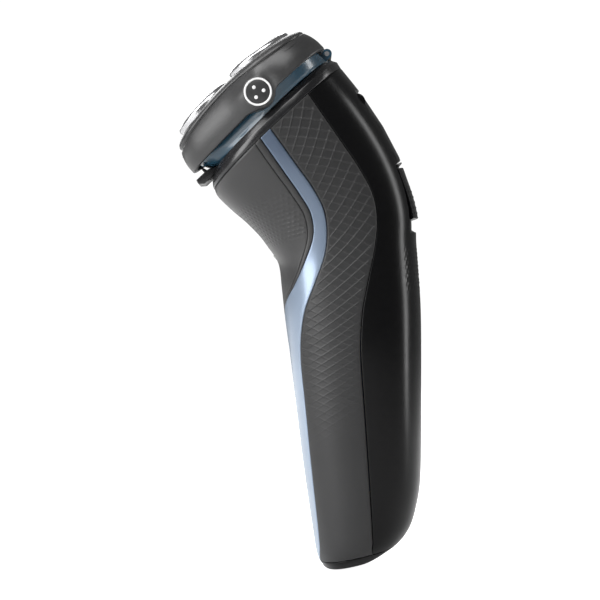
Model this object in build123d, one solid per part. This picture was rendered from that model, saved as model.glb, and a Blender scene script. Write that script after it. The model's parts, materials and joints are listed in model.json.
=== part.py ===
from build123d import *
import math
import os

os.makedirs("parts", exist_ok=True)

# Rotary electric shaver, millimetres. +Z up the handle, -Y the front, +X the user's right.
# The origin is the middle of the foot face at the bottom of the handle.

# ---- driving dimensions: handle -------------------------------------------------------------
WALL = 2.0                 # moulded shell thickness
SEAM = 0.15                # gap between neighbouring shell panels
SECTION_POWER = 2.35       # roundness of the handle's section, 2 would be an ellipse

# Handle sections from the foot to the collar: front y, front z, back y, back z, half width
STATIONS = [
    (-8.9, -1.88, 6.3, 1.33, 14.5), (-11.0, 0.4, 13.2, 6.0, 18.2), (-12.2, 4.2, 17.1, 11.2, 20.2),
    (-13.0, 9.6, 19.1, 17.9, 21.3), (-14.2, 17.4, 20.2, 25.4, 22.2), (-16.2, 31.4, 20.5, 37.4, 23.0),
    (-18.2, 47.4, 20.5, 51.4, 23.8), (-20.1, 63.4, 20.5, 67.4, 24.4), (-21.7, 75.4, 20.3, 79.4, 24.3),
    (-22.7, 84.4, 19.6, 89.9, 23.9), (-23.7, 91.9, 19.0, 98.4, 23.5), (-26.6, 96.7, 18.7, 107.4, 23.3),
    (-30.6, 101.6, 17.1, 115.6, 23.5), (-34.9, 105.8, 13.7, 125.0, 24.0),
    (-39.2, 109.6, 8.7, 134.5, 24.8), (-42.4, 112.8, 2.4, 143.9, 25.4), (-43.5, 115.0, -4.2, 152.2, 25.9),
]
COLLAR_STATION = len(STATIONS) - 1
FORK_STATION = 8           # where the front trim splits into its two arms

# Seams on the handle's side, as points (y, z) from the foot to the collar
COVER_SEAM = [(5.6, -4), (4.6, 12), (3.6, 28), (2.4, 45), (1.3, 60), (0.8, 71), (2.2, 82), (4.8, 93),
              (6.2, 102), (5.8, 110), (2.6, 117.4), (-4.6, 128), (-18.5, 148)]
TRIM_REAR = [(-10.4, -4), (-11.7, 12), (-13.3, 26), (-15.2, 45), (-16.9, 62), (-17.4, 72),
             (-13.5, 83.6), (-9.9, 93), (-9.0, 101), (-9.4, 106.5), (-12.6, 113.3), (-24.0, 129.2), (-32, 140)]
TRIM_FRONT = [(-22.6, 77.5), (-19.4, 84), (-15.4, 92.9), (-12.8, 101), (-13.2, 105.4), (-17.6, 113),
              (-28.5, 128.4), (-36, 139)]

# ---- driving dimensions: button, collar, trimmer and foot -------------------------------------
BUTTON_LENGTH = 15.0
BUTTON_WIDTH = 10.5
LAMP_DROP = 11.5               # charge lamp below the button's middle
COLLAR_HEIGHT = 4.2
COLLAR_TAPER = (2.4, 1.5)      # how much the collar's upper rim is set in: front to back, sideways
COLLAR_LEAN = 1.9              # its upper rim sits this much further back
ARM_LENGTH = 22.0              # trimmer arm from its hinge pin to its nose
ARM_HALF = 11.0                # half its width
ARM_NOSE = 2.6
ARM_PIN_RADIUS = 0.8
ARM_GAP = 0.35
TOOTH_PITCH = 1.2              # of the trimmer's comb and blade
SLIDE_DEPTH = 1.1
POCKET_DEPTH = 1.4
SLIDE_ANGLE = 26.0             # half angle that the slide covers round the handle
SLIDE_TOP = 122.0
SLIDE_FOOT = 105.8
SOCKET_Y = -3.0                # middle of the power socket, in front of the origin

# ---- driving dimensions: head ---------------------------------------------------------------
HEAD_PIVOT = (0, -29.5, 142.4)   # axis that the head rocks about, along X
HEAD_TILT = 42.5                 # head leans forward by this angle
CAP_CIRCLE = 15.0                # radius of the circle through the three cutter axes
CAP_CENTRE_U = 1.0               # middle of that circle, behind the pivot
CAP_RADIUS = 10.8
DOME_RADIUS = 120.0              # top of the head, curved front to back
DOME_TOP = 9.8
DOME_U = -6.0
SPREAD_TILT = 3.5                # outward lean of the rear pair of caps
LIP_LEVEL = -2.6                 # lower edge of the head shell
CHAMBER_RIM = -1.2
CHAMBER_FLOOR = -10.0
# Head shell: level along the head axis, radius of the rounded triangle's corners
SHELL_PROFILE = [(LIP_LEVEL, 16.2), (0.5, 16.1), (3.0, 15.5), (5.6, 14.3), (7.6, 12.7),
                 (9.0, 10.9), (10.0, 8.6)]
SEAM_SURFACE = (7.5, 130.0, -2.8)      # seam between head shell and cap plate: top, radius, place
LOBE_RADIUS = 5.9                # round boss on each side of the shell, round the rocking axis
EMBLEM_RADIUS = 4.6
PIVOT_RADIUS = 1.6
PIVOT_BORE = 1.7
CARRIER_RADIUS = 11.9
HINGE_U = 24.7                   # hinge that the head flips open on, behind the caps
HINGE_LEVEL = -3.7
HINGE_RADIUS = 1.5
HINGE_PIN = 0.75
CAP_WALL = 0.6
CAP_TOP = 1.7
FLANGE_RADIUS = 11.2
CUTTER_RADIUS = 9.6
HUB_RADIUS = 4.4
BLADE_COUNT = 9
SLOT_COUNT = 30

# ---- driving dimensions: drive --------------------------------------------------------------
MODULE = 0.5
PINION_TEETH = 32
GEAR_TEETH = 28
GEAR_LEVEL = -15.0               # underside of the gears along the head axis
GEAR_WIDTH = 2.6
SPINDLE_TIP = 5.0
SPINDLE_RADIUS = 2.0
TIP_RADIUS = 1.5
SHAFT_RADIUS = 1.0
RUNNING = 0.05                   # radial clearance of a shaft in its hole
UPPER_PLATE = (-12.0, -10.9)     # gearbox lid and base, levels along the head axis
LOWER_PLATE = (-17.0, -15.4)
SCREW_X, SCREW_U = 19.0, -5.0
MOTOR_TOP = -17.4
MOTOR_RADIUS = 11.8
MOTOR_LENGTH = 26.0
BATTERY_RADIUS = 7.1
BATTERY_Y = 4.5
BATTERY_LOW, BATTERY_HIGH = 22.0, 71.0
BOARD_Y = -9.6

# ---- frames ---------------------------------------------------------------------------------
tilt = math.radians(HEAD_TILT)
HEAD_A = Vector(0, -math.sin(tilt), math.cos(tilt))     # out of the head
HEAD_U = Vector(0, math.cos(tilt), math.sin(tilt))      # towards the back of the head
HEAD = Plane(origin=HEAD_PIVOT, x_dir=(1, 0, 0), z_dir=HEAD_A)


def save(name, shape):
    shape.label = name
    export_step(shape, f"parts/{name}.step")


def mirrored(shape):
    return mirror(shape, about=Plane.YZ)


def ring(plane, outer, inner, low, high):
    """A plain ring on a plane, from one height to another."""
    frame = plane.offset(low)
    body = extrude(frame * Circle(outer), high - low)
    return body - extrude(frame * Circle(inner), high - low) if inner else body


# ---- handle surface -------------------------------------------------------------------------
def section_point(station, angle, inset):
    """Point on a handle section: angle 0 is the front, 180 the back, positive on +X."""
    front_y, front_z, back_y, back_z, half_width = STATIONS[station]
    middle = Vector(0, (front_y + back_y) / 2, (front_z + back_z) / 2)
    forward = Vector(0, front_y, front_z) - middle
    depth = forward.length
    cosine, sine = math.cos(math.radians(angle)), math.sin(math.radians(angle))
    power = 2 / SECTION_POWER
    along = math.copysign(abs(cosine) ** power, cosine) * (depth - inset)
    across = math.copysign(abs(sine) ** power, sine) * (half_width - inset)
    return middle + forward.normalized() * along + Vector(across, 0, 0)


def seam_angle(station, seam):
    """Angle at which a side seam crosses a handle section."""
    front_y, front_z, back_y, back_z, _ = STATIONS[station]
    dy, dz = back_y - front_y, back_z - front_z
    best = None
    for (y0, z0), (y1, z1) in zip(seam, seam[1:]):
        ey, ez = y1 - y0, z1 - z0
        cross = dy * ez - dz * ey
        if abs(cross) < 1e-9:
            continue
        share = ((y0 - front_y) * ez - (z0 - front_z) * ey) / cross
        along = ((y0 - front_y) * dz - (z0 - front_z) * dy) / cross
        if -0.001 <= along <= 1.001:
            best = share
    if best is None:
        return 0.0
    cosine = max(-1.0, min(1.0, 1 - 2 * best))
    exact = math.copysign(abs(cosine) ** (SECTION_POWER / 2), cosine)
    return math.degrees(math.acos(exact))


def gap_angle(station, gap):
    """Angle that a gap takes up on a handle section."""
    _, _, _, _, half_width = STATIONS[station]
    return math.degrees(gap / half_width)


def panel(stations, limits, outer=0.0, inner=WALL, points=9):
    """A moulded panel: a loft through handle sections, between two angles at each one."""
    wires = []
    for station in stations:
        start, end = limits(station)
        angles = [start + (end - start) * i / (points - 1) for i in range(points)]
        outside = [section_point(station, angle, outer) for angle in angles]
        inside = [section_point(station, angle, inner) for angle in reversed(angles)]
        wires.append(Wire([Spline(outside), Line(outside[-1], inside[0]), Spline(inside),
                           Line(inside[-1], outside[0])]))
    return Solid.make_loft(wires, ruled=True)


def handle_core(inset, stations):
    """The closed inside or outside of the handle, set in from its surface."""
    wires = []
    for station in stations:
        points = [section_point(station, 7.5 + angle, inset) for angle in range(0, 360, 15)]
        wires.append(Wire([Spline(points, periodic=True)]))
    return Solid.make_loft(wires, ruled=True)


def cover_angle(station):
    return seam_angle(station, COVER_SEAM)


def trim_rear_angle(station):
    return seam_angle(station, TRIM_REAR)


def trim_front_angle(station):
    return max(seam_angle(station, TRIM_FRONT), 0.5)


SHELL = range(1, len(STATIONS))          # the foot cap closes the handle below the first panel
UPPER = range(FORK_STATION, len(STATIONS))


def station_point(station, along):
    """Point on the centre plane across a section: 0 is its front, 1 its back."""
    front_y, front_z, back_y, back_z, _ = STATIONS[station]
    y = front_y + (back_y - front_y) * along
    z = front_z + (back_z - front_z) * along
    return Vector(0, y, z)


# ---- trimmer frame: on the back of the neck -------------------------------------------------
back_high = station_point(COLLAR_STATION - 1, 1)
back_low = station_point(COLLAR_STATION - 3, 1)
ARM_DOWN = (back_low - back_high).normalized()
ARM_OUT = Vector(0, -ARM_DOWN.Z, ARM_DOWN.Y)
ARM_PIN = back_high + ARM_DOWN * 1.2 - ARM_OUT * 3.2       # hinge pin at the arm's upper end
ARM_PLANE = Plane(origin=ARM_PIN, x_dir=(-1, 0, 0), z_dir=ARM_OUT)   # its y runs up the back
slide_point = station_point(COLLAR_STATION - 4, 1)
SLIDE_DOWN = (slide_point - back_low).normalized()
SLIDE_PLANE = Plane(origin=slide_point, x_dir=(-1, 0, 0), z_dir=Vector(0, -SLIDE_DOWN.Z, SLIDE_DOWN.Y))


def arm_box(half, upper, length, deep, high):
    """Block on the trimmer frame, from above the pin to below the teeth."""
    return ARM_PLANE * Pos(0, (upper - length) / 2, (high - deep) / 2) * Box(
        2 * half, upper + length, high + deep)


def build_handle_shells():
    grip_limits = lambda s: (trim_rear_angle(s) + gap_angle(s, SEAM / 2),
                             cover_angle(s) - gap_angle(s, SEAM / 2))
    right = panel(SHELL, grip_limits)
    save("right_grip", right)
    save("left_grip", mirrored(right))

    cover_limits = lambda s: (cover_angle(s) + gap_angle(s, SEAM / 2),
                              360 - cover_angle(s) - gap_angle(s, SEAM / 2))
    cover = panel(SHELL, cover_limits, points=17)
    cover -= arm_box(ARM_HALF + ARM_GAP, ARM_NOSE + ARM_GAP, ARM_LENGTH + 0.4, 4.4, 12)
    cover -= ARM_PLANE * Rot(0, 90, 0) * Cylinder(ARM_PIN_RADIUS + 0.02, 2 * ARM_HALF + 3.2)
    cover -= SLIDE_PLANE * Pos(0, -1.2, -2) * Box(5.0, 10.0, 8)
    pocket = panel(range(9, COLLAR_STATION - 1),
                   lambda s: (180 - SLIDE_ANGLE - 1.2, 180 + SLIDE_ANGLE + 1.2),
                   outer=-0.8, inner=POCKET_DEPTH)
    cover -= pocket & pocket_limit()
    save("back_cover", max(cover.solids(), key=lambda piece: piece.volume))

    trim = panel(SHELL, lambda s: (0.0 if s <= FORK_STATION else trim_front_angle(s),
                                   trim_rear_angle(s) - gap_angle(s, SEAM / 2)))
    fork = panel(UPPER, lambda s: (-fork_angle(s), fork_angle(s)), outer=-0.5, inner=WALL + 0.5)
    save("front_trim", trim + mirrored(trim) - fork)


def pocket_limit():
    """Stretch of the back that the trimmer slide's pocket covers."""
    return Pos(0, 20, 108.5) * Box(60, 60, 29.0)


def fork_angle(station):
    """Half the opening between the trim's two arms, which starts from a narrow tip."""
    return 1.6 if station == FORK_STATION else trim_front_angle(station)


def front_panel_limits(station):
    edge = fork_angle(station) - gap_angle(station, SEAM)
    return -edge, edge


# ---- on/off button --------------------------------------------------------------------------
BUTTON_FRONT = Vector(0, -31.6, 103.0)     # where the button's middle meets the front surface
BUTTON_IN = Vector(0, 0.72, 0.694)         # pressed this way
BUTTON_PLANE = Plane(origin=BUTTON_FRONT, x_dir=(1, 0, 0), z_dir=BUTTON_IN * -1)


def button_prism(grow, low, high):
    outline = BUTTON_PLANE.offset(low) * SlotOverall(BUTTON_LENGTH + 2 * grow, BUTTON_WIDTH + 2 * grow,
                                                     rotation=90)
    return extrude(outline, high - low)


def build_front_panel():
    skin = panel(UPPER, front_panel_limits)
    lamp = extrude(BUTTON_PLANE.offset(-6) * (Pos(0, -LAMP_DROP) * Circle(1.25)), 12)
    save("front_panel", skin - button_prism(0.3, -6, 8) - lamp)

    cap = skin & button_prism(0, -6, 8)
    stem = extrude(BUTTON_PLANE.offset(-5.2) * Circle(1.8), 4.0)
    flange = extrude(BUTTON_PLANE.offset(-4.2) * SlotOverall(BUTTON_LENGTH + 2.0, BUTTON_WIDTH + 2.0,
                                                             rotation=90), 0.8)
    save("on_off_button", (cap + stem + flange + button_prism(-1.6, -4.0, -1.2)))

    lens = extrude(BUTTON_PLANE.offset(-3.4) * (Pos(0, -LAMP_DROP) * Circle(1.2)), 6)
    save("charge_lamp", lens & panel(UPPER, front_panel_limits,
                                     inner=WALL + 1.4))


# ---- collar, chamber and head outlines ------------------------------------------------------


def collar_plane():
    front_y, front_z, back_y, back_z, _ = STATIONS[COLLAR_STATION]
    along = Vector(0, back_y - front_y, back_z - front_z).normalized()
    return Plane(origin=station_point(COLLAR_STATION, 0.5), x_dir=(1, 0, 0),
                 z_dir=Vector(0, -along.Z, along.Y))


COLLAR = collar_plane()


def collar_depth():
    front, back = station_point(COLLAR_STATION, 0), station_point(COLLAR_STATION, 1)
    return (back - front).length / 2


def collar_section(height, inset):
    """The collar's outline at a height above the top of the handle."""
    share = max(0.0, min(1.0, height / COLLAR_HEIGHT))
    half_width = STATIONS[COLLAR_STATION][4]
    return COLLAR.offset(height) * Pos(0, COLLAR_LEAN * share) * Ellipse(
        half_width - COLLAR_TAPER[1] * share - inset, collar_depth() - COLLAR_TAPER[0] * share - inset)


def build_collar():
    low, middle, high = 0.15, 2.3, COLLAR_HEIGHT
    outside = loft([collar_section(low, -0.1), collar_section(middle, -0.1)]) + loft(
        [collar_section(middle, -0.1), collar_section(high, 0.35)])
    inside = loft([collar_section(low - 1, 2.2), collar_section(low, 2.2)]) + loft(
        [collar_section(low, 2.2), collar_section(high, 2.2)]) + loft(
        [collar_section(high, 2.2), collar_section(high + 1, 2.2)])
    save("collar_ring", outside - inside)


def cap_centres():
    """Centre (x, u) of each cap seen along the head axis: the single one in front, then the pair."""
    turns = [math.radians(angle) for angle in (-90, 30, 150)]
    return [(CAP_CIRCLE * math.cos(turn), CAP_CENTRE_U + CAP_CIRCLE * math.sin(turn)) for turn in turns]


def head_outline(level, radius, spread=1.0):
    """Rounded triangle round the three caps, square to the head axis."""
    u0, x1 = CAP_CENTRE_U - CAP_CIRCLE * spread, CAP_CIRCLE * spread * math.cos(math.radians(30))
    x0, u1 = 0, CAP_CENTRE_U + CAP_CIRCLE * spread / 2
    length = math.hypot(x1 - x0, u1 - u0)
    nx, nu = (u1 - u0) / length, -(x1 - x0) / length
    rear = u1 + radius
    a, b = (x0 + nx * radius, u0 + nu * radius), (x1 + nx * radius, u1 + nu * radius)
    turn = math.atan2(nu, nx)
    half = (turn + math.pi / 2) / 2
    c = (x1 + radius * math.cos(half), u1 + radius * math.sin(half))
    flip = lambda p: (-p[0], p[1])
    edges = [Line(a, b), ThreePointArc(b, c, (x1, rear)), Line((x1, rear), (-x1, rear)),
             ThreePointArc((-x1, rear), flip(c), flip(b)), Line(flip(b), flip(a)),
             ThreePointArc(flip(a), (0, u0 - radius), a)]
    return HEAD.offset(level) * make_face(Wire(edges))


def head_solid(inset, low, high):
    """The head's outer form, or the same form set in, between two levels."""
    inside = [(level, radius) for level, radius in SHELL_PROFILE if low < level < high]
    levels = [(low, radius_at(low))] + inside + [(high, radius_at(high))]
    body = None
    for (l0, r0), (l1, r1) in zip(levels, levels[1:]):
        piece = loft([head_outline(l0, r0 - inset), head_outline(l1, r1 - inset)], ruled=True)
        body = piece if body is None else body + piece
    return body


def radius_at(level):
    if level <= SHELL_PROFILE[0][0]:
        return SHELL_PROFILE[0][1]
    for (l0, r0), (l1, r1) in zip(SHELL_PROFILE, SHELL_PROFILE[1:]):
        if level <= l1:
            return r0 + (r1 - r0) * (level - l0) / (l1 - l0)
    return SHELL_PROFILE[-1][1]


def under_cylinder(top, radius, centre_u):
    """Everything under a curved surface that runs along X, as a long cylinder."""
    return HEAD * Pos(0, centre_u, top - radius) * Rot(0, 90, 0) * Cylinder(radius, 120)


def cap_plane(index):
    """Frame of one cap: origin on the cap plate's top, z out of the head."""
    x, u = cap_centres()[index]
    lean = math.degrees(math.asin((u - DOME_U) / DOME_RADIUS))
    level = DOME_TOP - DOME_RADIUS * (1 - math.cos(math.radians(lean)))
    outward = 0 if abs(x) < 1 else math.copysign(SPREAD_TILT, x)
    return Plane(HEAD.location * Pos(x, u, level) * Rot(-lean, outward, 0))


def build_head():
    below_seam = under_cylinder(*SEAM_SURFACE)
    below_seam_gap = under_cylinder(SEAM_SURFACE[0] + 0.15, SEAM_SURFACE[1], SEAM_SURFACE[2])
    dome = under_cylinder(DOME_TOP, DOME_RADIUS, DOME_U)
    outside = head_solid(0, LIP_LEVEL, 10.0) & dome
    shell = (head_solid(0, LIP_LEVEL, 10.0) & below_seam) - head_solid(1.5, LIP_LEVEL - 1, 9.0)
    for side in (-1, 1):
        shell += cross_rod(0, 0, LOBE_RADIUS, side * 26.8 - 1.4, side * 26.8 + 1.4)
    shell -= head_solid(1.5, LIP_LEVEL - 6, 5.0)
    shell -= head_block((-8.2, 8.2), (22, 27), (LIP_LEVEL - 2, 2.7))       # room for the hinge at the back
    for side in (-1, 1):
        shell -= cross_rod(0, 0, PIVOT_BORE, side * 25.4 - 1.8, side * 25.4 + 1.8)
        shell -= cross_rod(0, 0, EMBLEM_RADIUS + 0.05, side * 28.8 - 1.0, side * 28.8 + 1.0)
        save("left_emblem" if side < 0 else "right_emblem",
             cross_rod(0, 0, EMBLEM_RADIUS, side * 28.1 - 0.25, side * 28.1 + 0.25))
    for index in range(3):
        shell -= extrude(cap_plane(index).offset(-9) * Circle(CARRIER_RADIUS + 0.45), 8)
        shell -= extrude(cap_plane(index).offset(-9) * Circle(CAP_RADIUS + 0.45), 12)
    save("head_shell", shell)

    plate = (outside - below_seam_gap) + (head_solid(1.65, 3.4, 9.0) & dome
             & under_cylinder(SEAM_SURFACE[0] + 0.6, SEAM_SURFACE[1], SEAM_SURFACE[2]))
    plate -= head_solid(3.0, 0, 8.0) & under_cylinder(DOME_TOP - 1.6, DOME_RADIUS - 1.6, DOME_U)
    for index in range(3):
        plane = cap_plane(index)
        plate -= extrude(plane.offset(-8) * Circle(CAP_RADIUS + 0.45), 16)
        plate -= extrude(plane.offset(-10) * Circle(CARRIER_RADIUS + 0.35), 10 - 1.3)
    save("cap_plate", plate)


def head_block(xs, us, levels):
    """A block in head coordinates, from its limits along x, u and the head axis."""
    size = [high - low for low, high in (xs, us, levels)]
    centre = [(high + low) / 2 for low, high in (xs, us, levels)]
    return HEAD * Pos(*centre) * Box(*size)


def head_rod(x, u, radius, low, high):
    """A round rod along the head axis."""
    return extrude(HEAD.offset(low) * (Pos(x, u) * Circle(radius)), high - low)


def cross_rod(u, level, radius, x_low, x_high):
    """A round rod along X, placed in head coordinates."""
    return HEAD * Pos((x_low + x_high) / 2, u, level) * Rot(0, 90, 0) * Cylinder(radius, x_high - x_low)


# ---- hair chamber and its hinge and latch ---------------------------------------------------


def chamber_form(inset):
    """The chamber's bowl: nearly round at the collar, a rounded triangle at its rim."""
    sections = [(CHAMBER_FLOOR, 20.0, 0.25), (-6.5, 20.2, 0.3), (-4.9, 17.1, 0.62), (CHAMBER_RIM, 13.5, 1.0)]
    if inset:
        sections[0] = (CHAMBER_FLOOR + 1.3, 20.0, 0.25)
        sections.append((CHAMBER_RIM + 1, 13.5, 1.0))
    body = None
    for (l0, r0, s0), (l1, r1, s1) in zip(sections, sections[1:]):
        piece = loft([head_outline(l0, r0 - inset, s0), head_outline(l1, r1 - inset, s1)], ruled=True)
        body = piece if body is None else body + piece
    return body


def above_collar(height):
    return extrude(COLLAR.offset(height) * Rectangle(90, 90), 40)


def build_chamber():
    bowl = chamber_form(0) & above_collar(COLLAR_HEIGHT + 0.15)
    spigot = loft([collar_section(0.6, 4.4), collar_section(COLLAR_HEIGHT + 1.0, 2.9)])
    chamber = bowl + spigot - chamber_form(1.4)
    chamber -= extrude(COLLAR.offset(0) * Rectangle(90, 90), -20)
    chamber -= loft([collar_section(-1, 5.8), collar_section(2.2, 5.6)])
    for x, u in cap_centres():
        chamber -= head_rod(x, u, SPINDLE_RADIUS + 0.6, CHAMBER_FLOOR - 6, CHAMBER_FLOOR + 8)
    for side in (-1, 1):
        ear = cross_rod(HINGE_U, HINGE_LEVEL, HINGE_RADIUS, side * 6.3 - 1.2, side * 6.3 + 1.2)
        ear += head_block((side * 6.3 - 1.2, side * 6.3 + 1.2), (22.2, HINGE_U), (-5.2, -2.9))
        chamber += ear
    chamber -= cross_rod(HINGE_U, HINGE_LEVEL, HINGE_PIN + 0.01, -9, 9)
    chamber -= head_block((-5.0, 5.0), (19, 30), (-2.9, 2)) + head_block((-4.9, 4.9), (23.2, 30), (-6, 2))
    chamber -= head_block((-2.2, 2.2), (-32, -18), (-6.6, -4.6))       # slot for the latch's stem
    chamber -= cross_rod(0, 0, PIVOT_RADIUS + 0.6, -30, 30)            # notches under the pivot pins
    save("hair_chamber", chamber)
    save("head_hinge_pin", cross_rod(HINGE_U, HINGE_LEVEL, HINGE_PIN, -7.5, 7.5))


def build_latch():
    outline = [(-30.6, -5.1), (-30.2, -6.4), (-28.7, -7.7), (-26.0, -7.3), (-25.5, -6.2), (-26.2, -5.1)]
    profile = Plane(origin=HEAD_PIVOT, x_dir=HEAD_U, z_dir=HEAD_U.cross(HEAD_A)) * make_face(
        Polyline(*outline, close=True))
    block = extrude(profile, 7, both=True)
    save("head_latch", block + head_block((-1.9, 1.9), (-28, -21.4), (-6.3, -4.9)))


def build_head_carrier():
    body = extrude(head_outline(-1.0, 13.6), 1.2) - extrude(head_outline(-2, 12.4), 4)
    strap = head_block((-4.5, 4.5), (21.2, HINGE_U), (-2.3, 0.0)) + head_block(
        (-4.5, 4.5), (23.6, HINGE_U + 0.6), (-3.4, -0.6))
    barrel = cross_rod(HINGE_U, HINGE_LEVEL, HINGE_RADIUS, -4.5, 4.5)
    body += strap + barrel
    body -= cross_rod(HINGE_U, HINGE_LEVEL, HINGE_PIN + RUNNING, -9, 9)
    for side in (-1, 1):
        body += head_block((side * 22.1 - 0.7, side * 22.1 + 0.7), (-2.2, 2.2), (-1.0, 1.2))
        body += cross_rod(0, 0, PIVOT_RADIUS, side * 24.5 - 2.5, side * 24.5 + 2.5)
    save("head_carrier", body)


# ---- caps and cutters -----------------------------------------------------------------------


def revolved(plane, points):
    """Revolve an outline given as (radius, height) about a plane's axis."""
    profile = Plane(origin=plane.origin, x_dir=plane.x_dir, z_dir=plane.y_dir * -1) * make_face(
        Polyline(*points, close=True))
    return revolve(profile, Axis(plane.origin, plane.z_dir), 360)


def build_caps():
    for index in range(3):
        plane = cap_plane(index)
        number = index + 1
        carrier = ring(plane, CARRIER_RADIUS, FLANGE_RADIUS + 0.15, -5.0, -2.4)
        carrier += ring(plane, CARRIER_RADIUS, 10.2, -5.0, -4.4)
        save(f"cap_carrier_{number}", carrier)

        top, inner = CAP_TOP, CAP_RADIUS - CAP_WALL
        cap = revolved(plane, [(0, top - 0.9), (4.6, top - 0.9), (5.0, top), (CAP_RADIUS - 0.5, top),
                               (CAP_RADIUS, top - 0.5), (CAP_RADIUS, -2.5), (FLANGE_RADIUS, -2.5),
                               (FLANGE_RADIUS, -3.1), (inner, -3.1), (inner, top - 0.5),
                               (5.4, top - 0.5), (5.0, top - 1.4), (0, top - 1.4)])
        cap -= [plane * Rot(0, 0, 360 / SLOT_COUNT * slot) * Pos(7.9, 0, top) * Box(3.6, 0.45, 1.6)
                for slot in range(SLOT_COUNT)]
        save(f"guard_cap_{number}", cap)

        cutter = ring(plane, CUTTER_RADIUS, None, -2.6, -1.9) + ring(plane, HUB_RADIUS, None, -6.4, 0.2)
        blades = [plane * Rot(0, 0, 360 / BLADE_COUNT * blade) * Pos(7.6, 0, -0.5) * Rot(30, 0, 0) * Box(
            3.6, 0.7, 3.4) for blade in range(BLADE_COUNT)]
        cutter = (cutter + blades) & ring(plane, CUTTER_RADIUS, None, -7, CAP_TOP - 0.75)
        cutter -= ring(plane, 3.4, None, -7, -1.4)
        save(f"cutter_{number}", cutter)


def build_retaining_frame():
    """Holds the cap carriers up against the plate: one rim for each, joined in the middle."""
    rims = Pos(0, CAP_CENTRE_U) * Circle(6.0)
    for x, u in cap_centres():
        rims += Pos(x, u) * Circle(11.0)
    for x, u in cap_centres():
        rims -= Pos(x, u) * Circle(9.9)
    for side in (-1, 1):
        rims -= Pos(side * 22.6, 0) * Rectangle(3.4, 7.4)      # room for the pivot bosses
    save("retaining_frame", extrude(HEAD.offset(0.1) * rims, 0.8))


# ---- drive train ----------------------------------------------------------------------------
def gear_face(teeth, phase, thinning=0.06):
    """Spur gear outline with involute flanks, thinned a little for backlash."""
    pitch = MODULE * teeth / 2
    base = pitch * math.cos(math.radians(20))
    tip, root = pitch + 0.9 * MODULE, pitch - 1.25 * MODULE
    start = max(root, base)
    outline = []
    for tooth in range(teeth):
        centre = math.radians(phase) + 2 * math.pi * tooth / teeth
        half = math.pi / (2 * teeth) - thinning / pitch
        at_pitch = math.tan(math.acos(base / pitch)) - math.acos(base / pitch)
        flank = []
        for step in range(4):
            radius = start + (tip - start) * step / 3
            spread = math.tan(math.acos(min(1, base / radius))) - math.acos(min(1, base / radius))
            flank.append((radius, half + at_pitch - spread))
        left = [(root, half + at_pitch)] * (root < start) + flank
        right = [(radius, -angle) for radius, angle in left]
        for radius, angle in right + left[::-1]:
            outline.append((radius * math.cos(centre + angle), radius * math.sin(centre + angle)))
    return make_face(Polyline(*outline, close=True))


def gear_phase(direction):
    """Turn that puts a gear in mesh with the pinion, whose first tooth lies along x."""
    pitch = 360 / PINION_TEETH
    lag = (-direction) % pitch
    return direction + 180 - lag * PINION_TEETH / GEAR_TEETH + 180 / GEAR_TEETH


def build_drive():
    centre = Pos(0, CAP_CENTRE_U)
    level = GEAR_LEVEL
    pinion = extrude(HEAD.offset(level) * (centre * gear_face(PINION_TEETH, 0)), GEAR_WIDTH)
    pinion -= head_rod(0, CAP_CENTRE_U, 1.0, level - 1, level + GEAR_WIDTH + 1)
    save("motor_pinion", pinion)
    for index, (x, u) in enumerate(cap_centres()):
        direction = (-90, 30, 150)[index]
        gear = extrude(HEAD.offset(level) * (Pos(x, u) * gear_face(GEAR_TEETH, gear_phase(direction))),
                       GEAR_WIDTH)
        gear += head_rod(x, u, 3.2, level, level + GEAR_WIDTH + 0.3)
        gear -= head_rod(x, u, SPINDLE_RADIUS - 0.6 + 0.01, level - 1, level + GEAR_WIDTH + 1)
        save(f"drive_gear_{index + 1}", gear)
        spindle = head_rod(x, u, SPINDLE_RADIUS - 0.6, LOWER_PLATE[0] + 0.1, level + GEAR_WIDTH + 0.4)
        spindle += head_rod(x, u, SPINDLE_RADIUS, level + GEAR_WIDTH + 0.32, 0.0)
        spindle += head_rod(x, u, TIP_RADIUS, 0.0, SPINDLE_TIP)
        save(f"drive_spindle_{index + 1}", spindle)


def gearbox_plate(levels):
    disc = head_rod(0, CAP_CENTRE_U, 21.8, *levels)
    plate = disc & handle_core(WALL + 0.4, range(COLLAR_STATION - 4, COLLAR_STATION + 1))
    return plate - arm_box(ARM_HALF + 1.5, 6, 26, 5.4, 12)


def build_gearbox():
    upper, lower = gearbox_plate(UPPER_PLATE), gearbox_plate(LOWER_PLATE)
    for x, u in cap_centres():
        upper -= head_rod(x, u, SPINDLE_RADIUS + RUNNING, UPPER_PLATE[0] - 1, UPPER_PLATE[1] + 1)
        lower -= head_rod(x, u, SPINDLE_RADIUS - 0.6 + RUNNING, LOWER_PLATE[0] - 1, LOWER_PLATE[1] + 1)
    lower -= head_rod(0, CAP_CENTRE_U, 2.6, LOWER_PLATE[0] - 1, LOWER_PLATE[1] + 1)
    for x in (-SCREW_X, SCREW_X):
        upper -= head_rod(x, SCREW_U, 0.75, UPPER_PLATE[0] - 1, UPPER_PLATE[1] + 1)
    save("gearbox_lid", upper)
    for x in (-SCREW_X, SCREW_X):
        lower += head_rod(x, SCREW_U, 1.6, LOWER_PLATE[1], UPPER_PLATE[0] - 0.02)
        lower -= head_rod(x, SCREW_U, 0.7, LOWER_PLATE[1] + 0.4, UPPER_PLATE[0] + 1)
    save("gearbox_base", lower)


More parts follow.
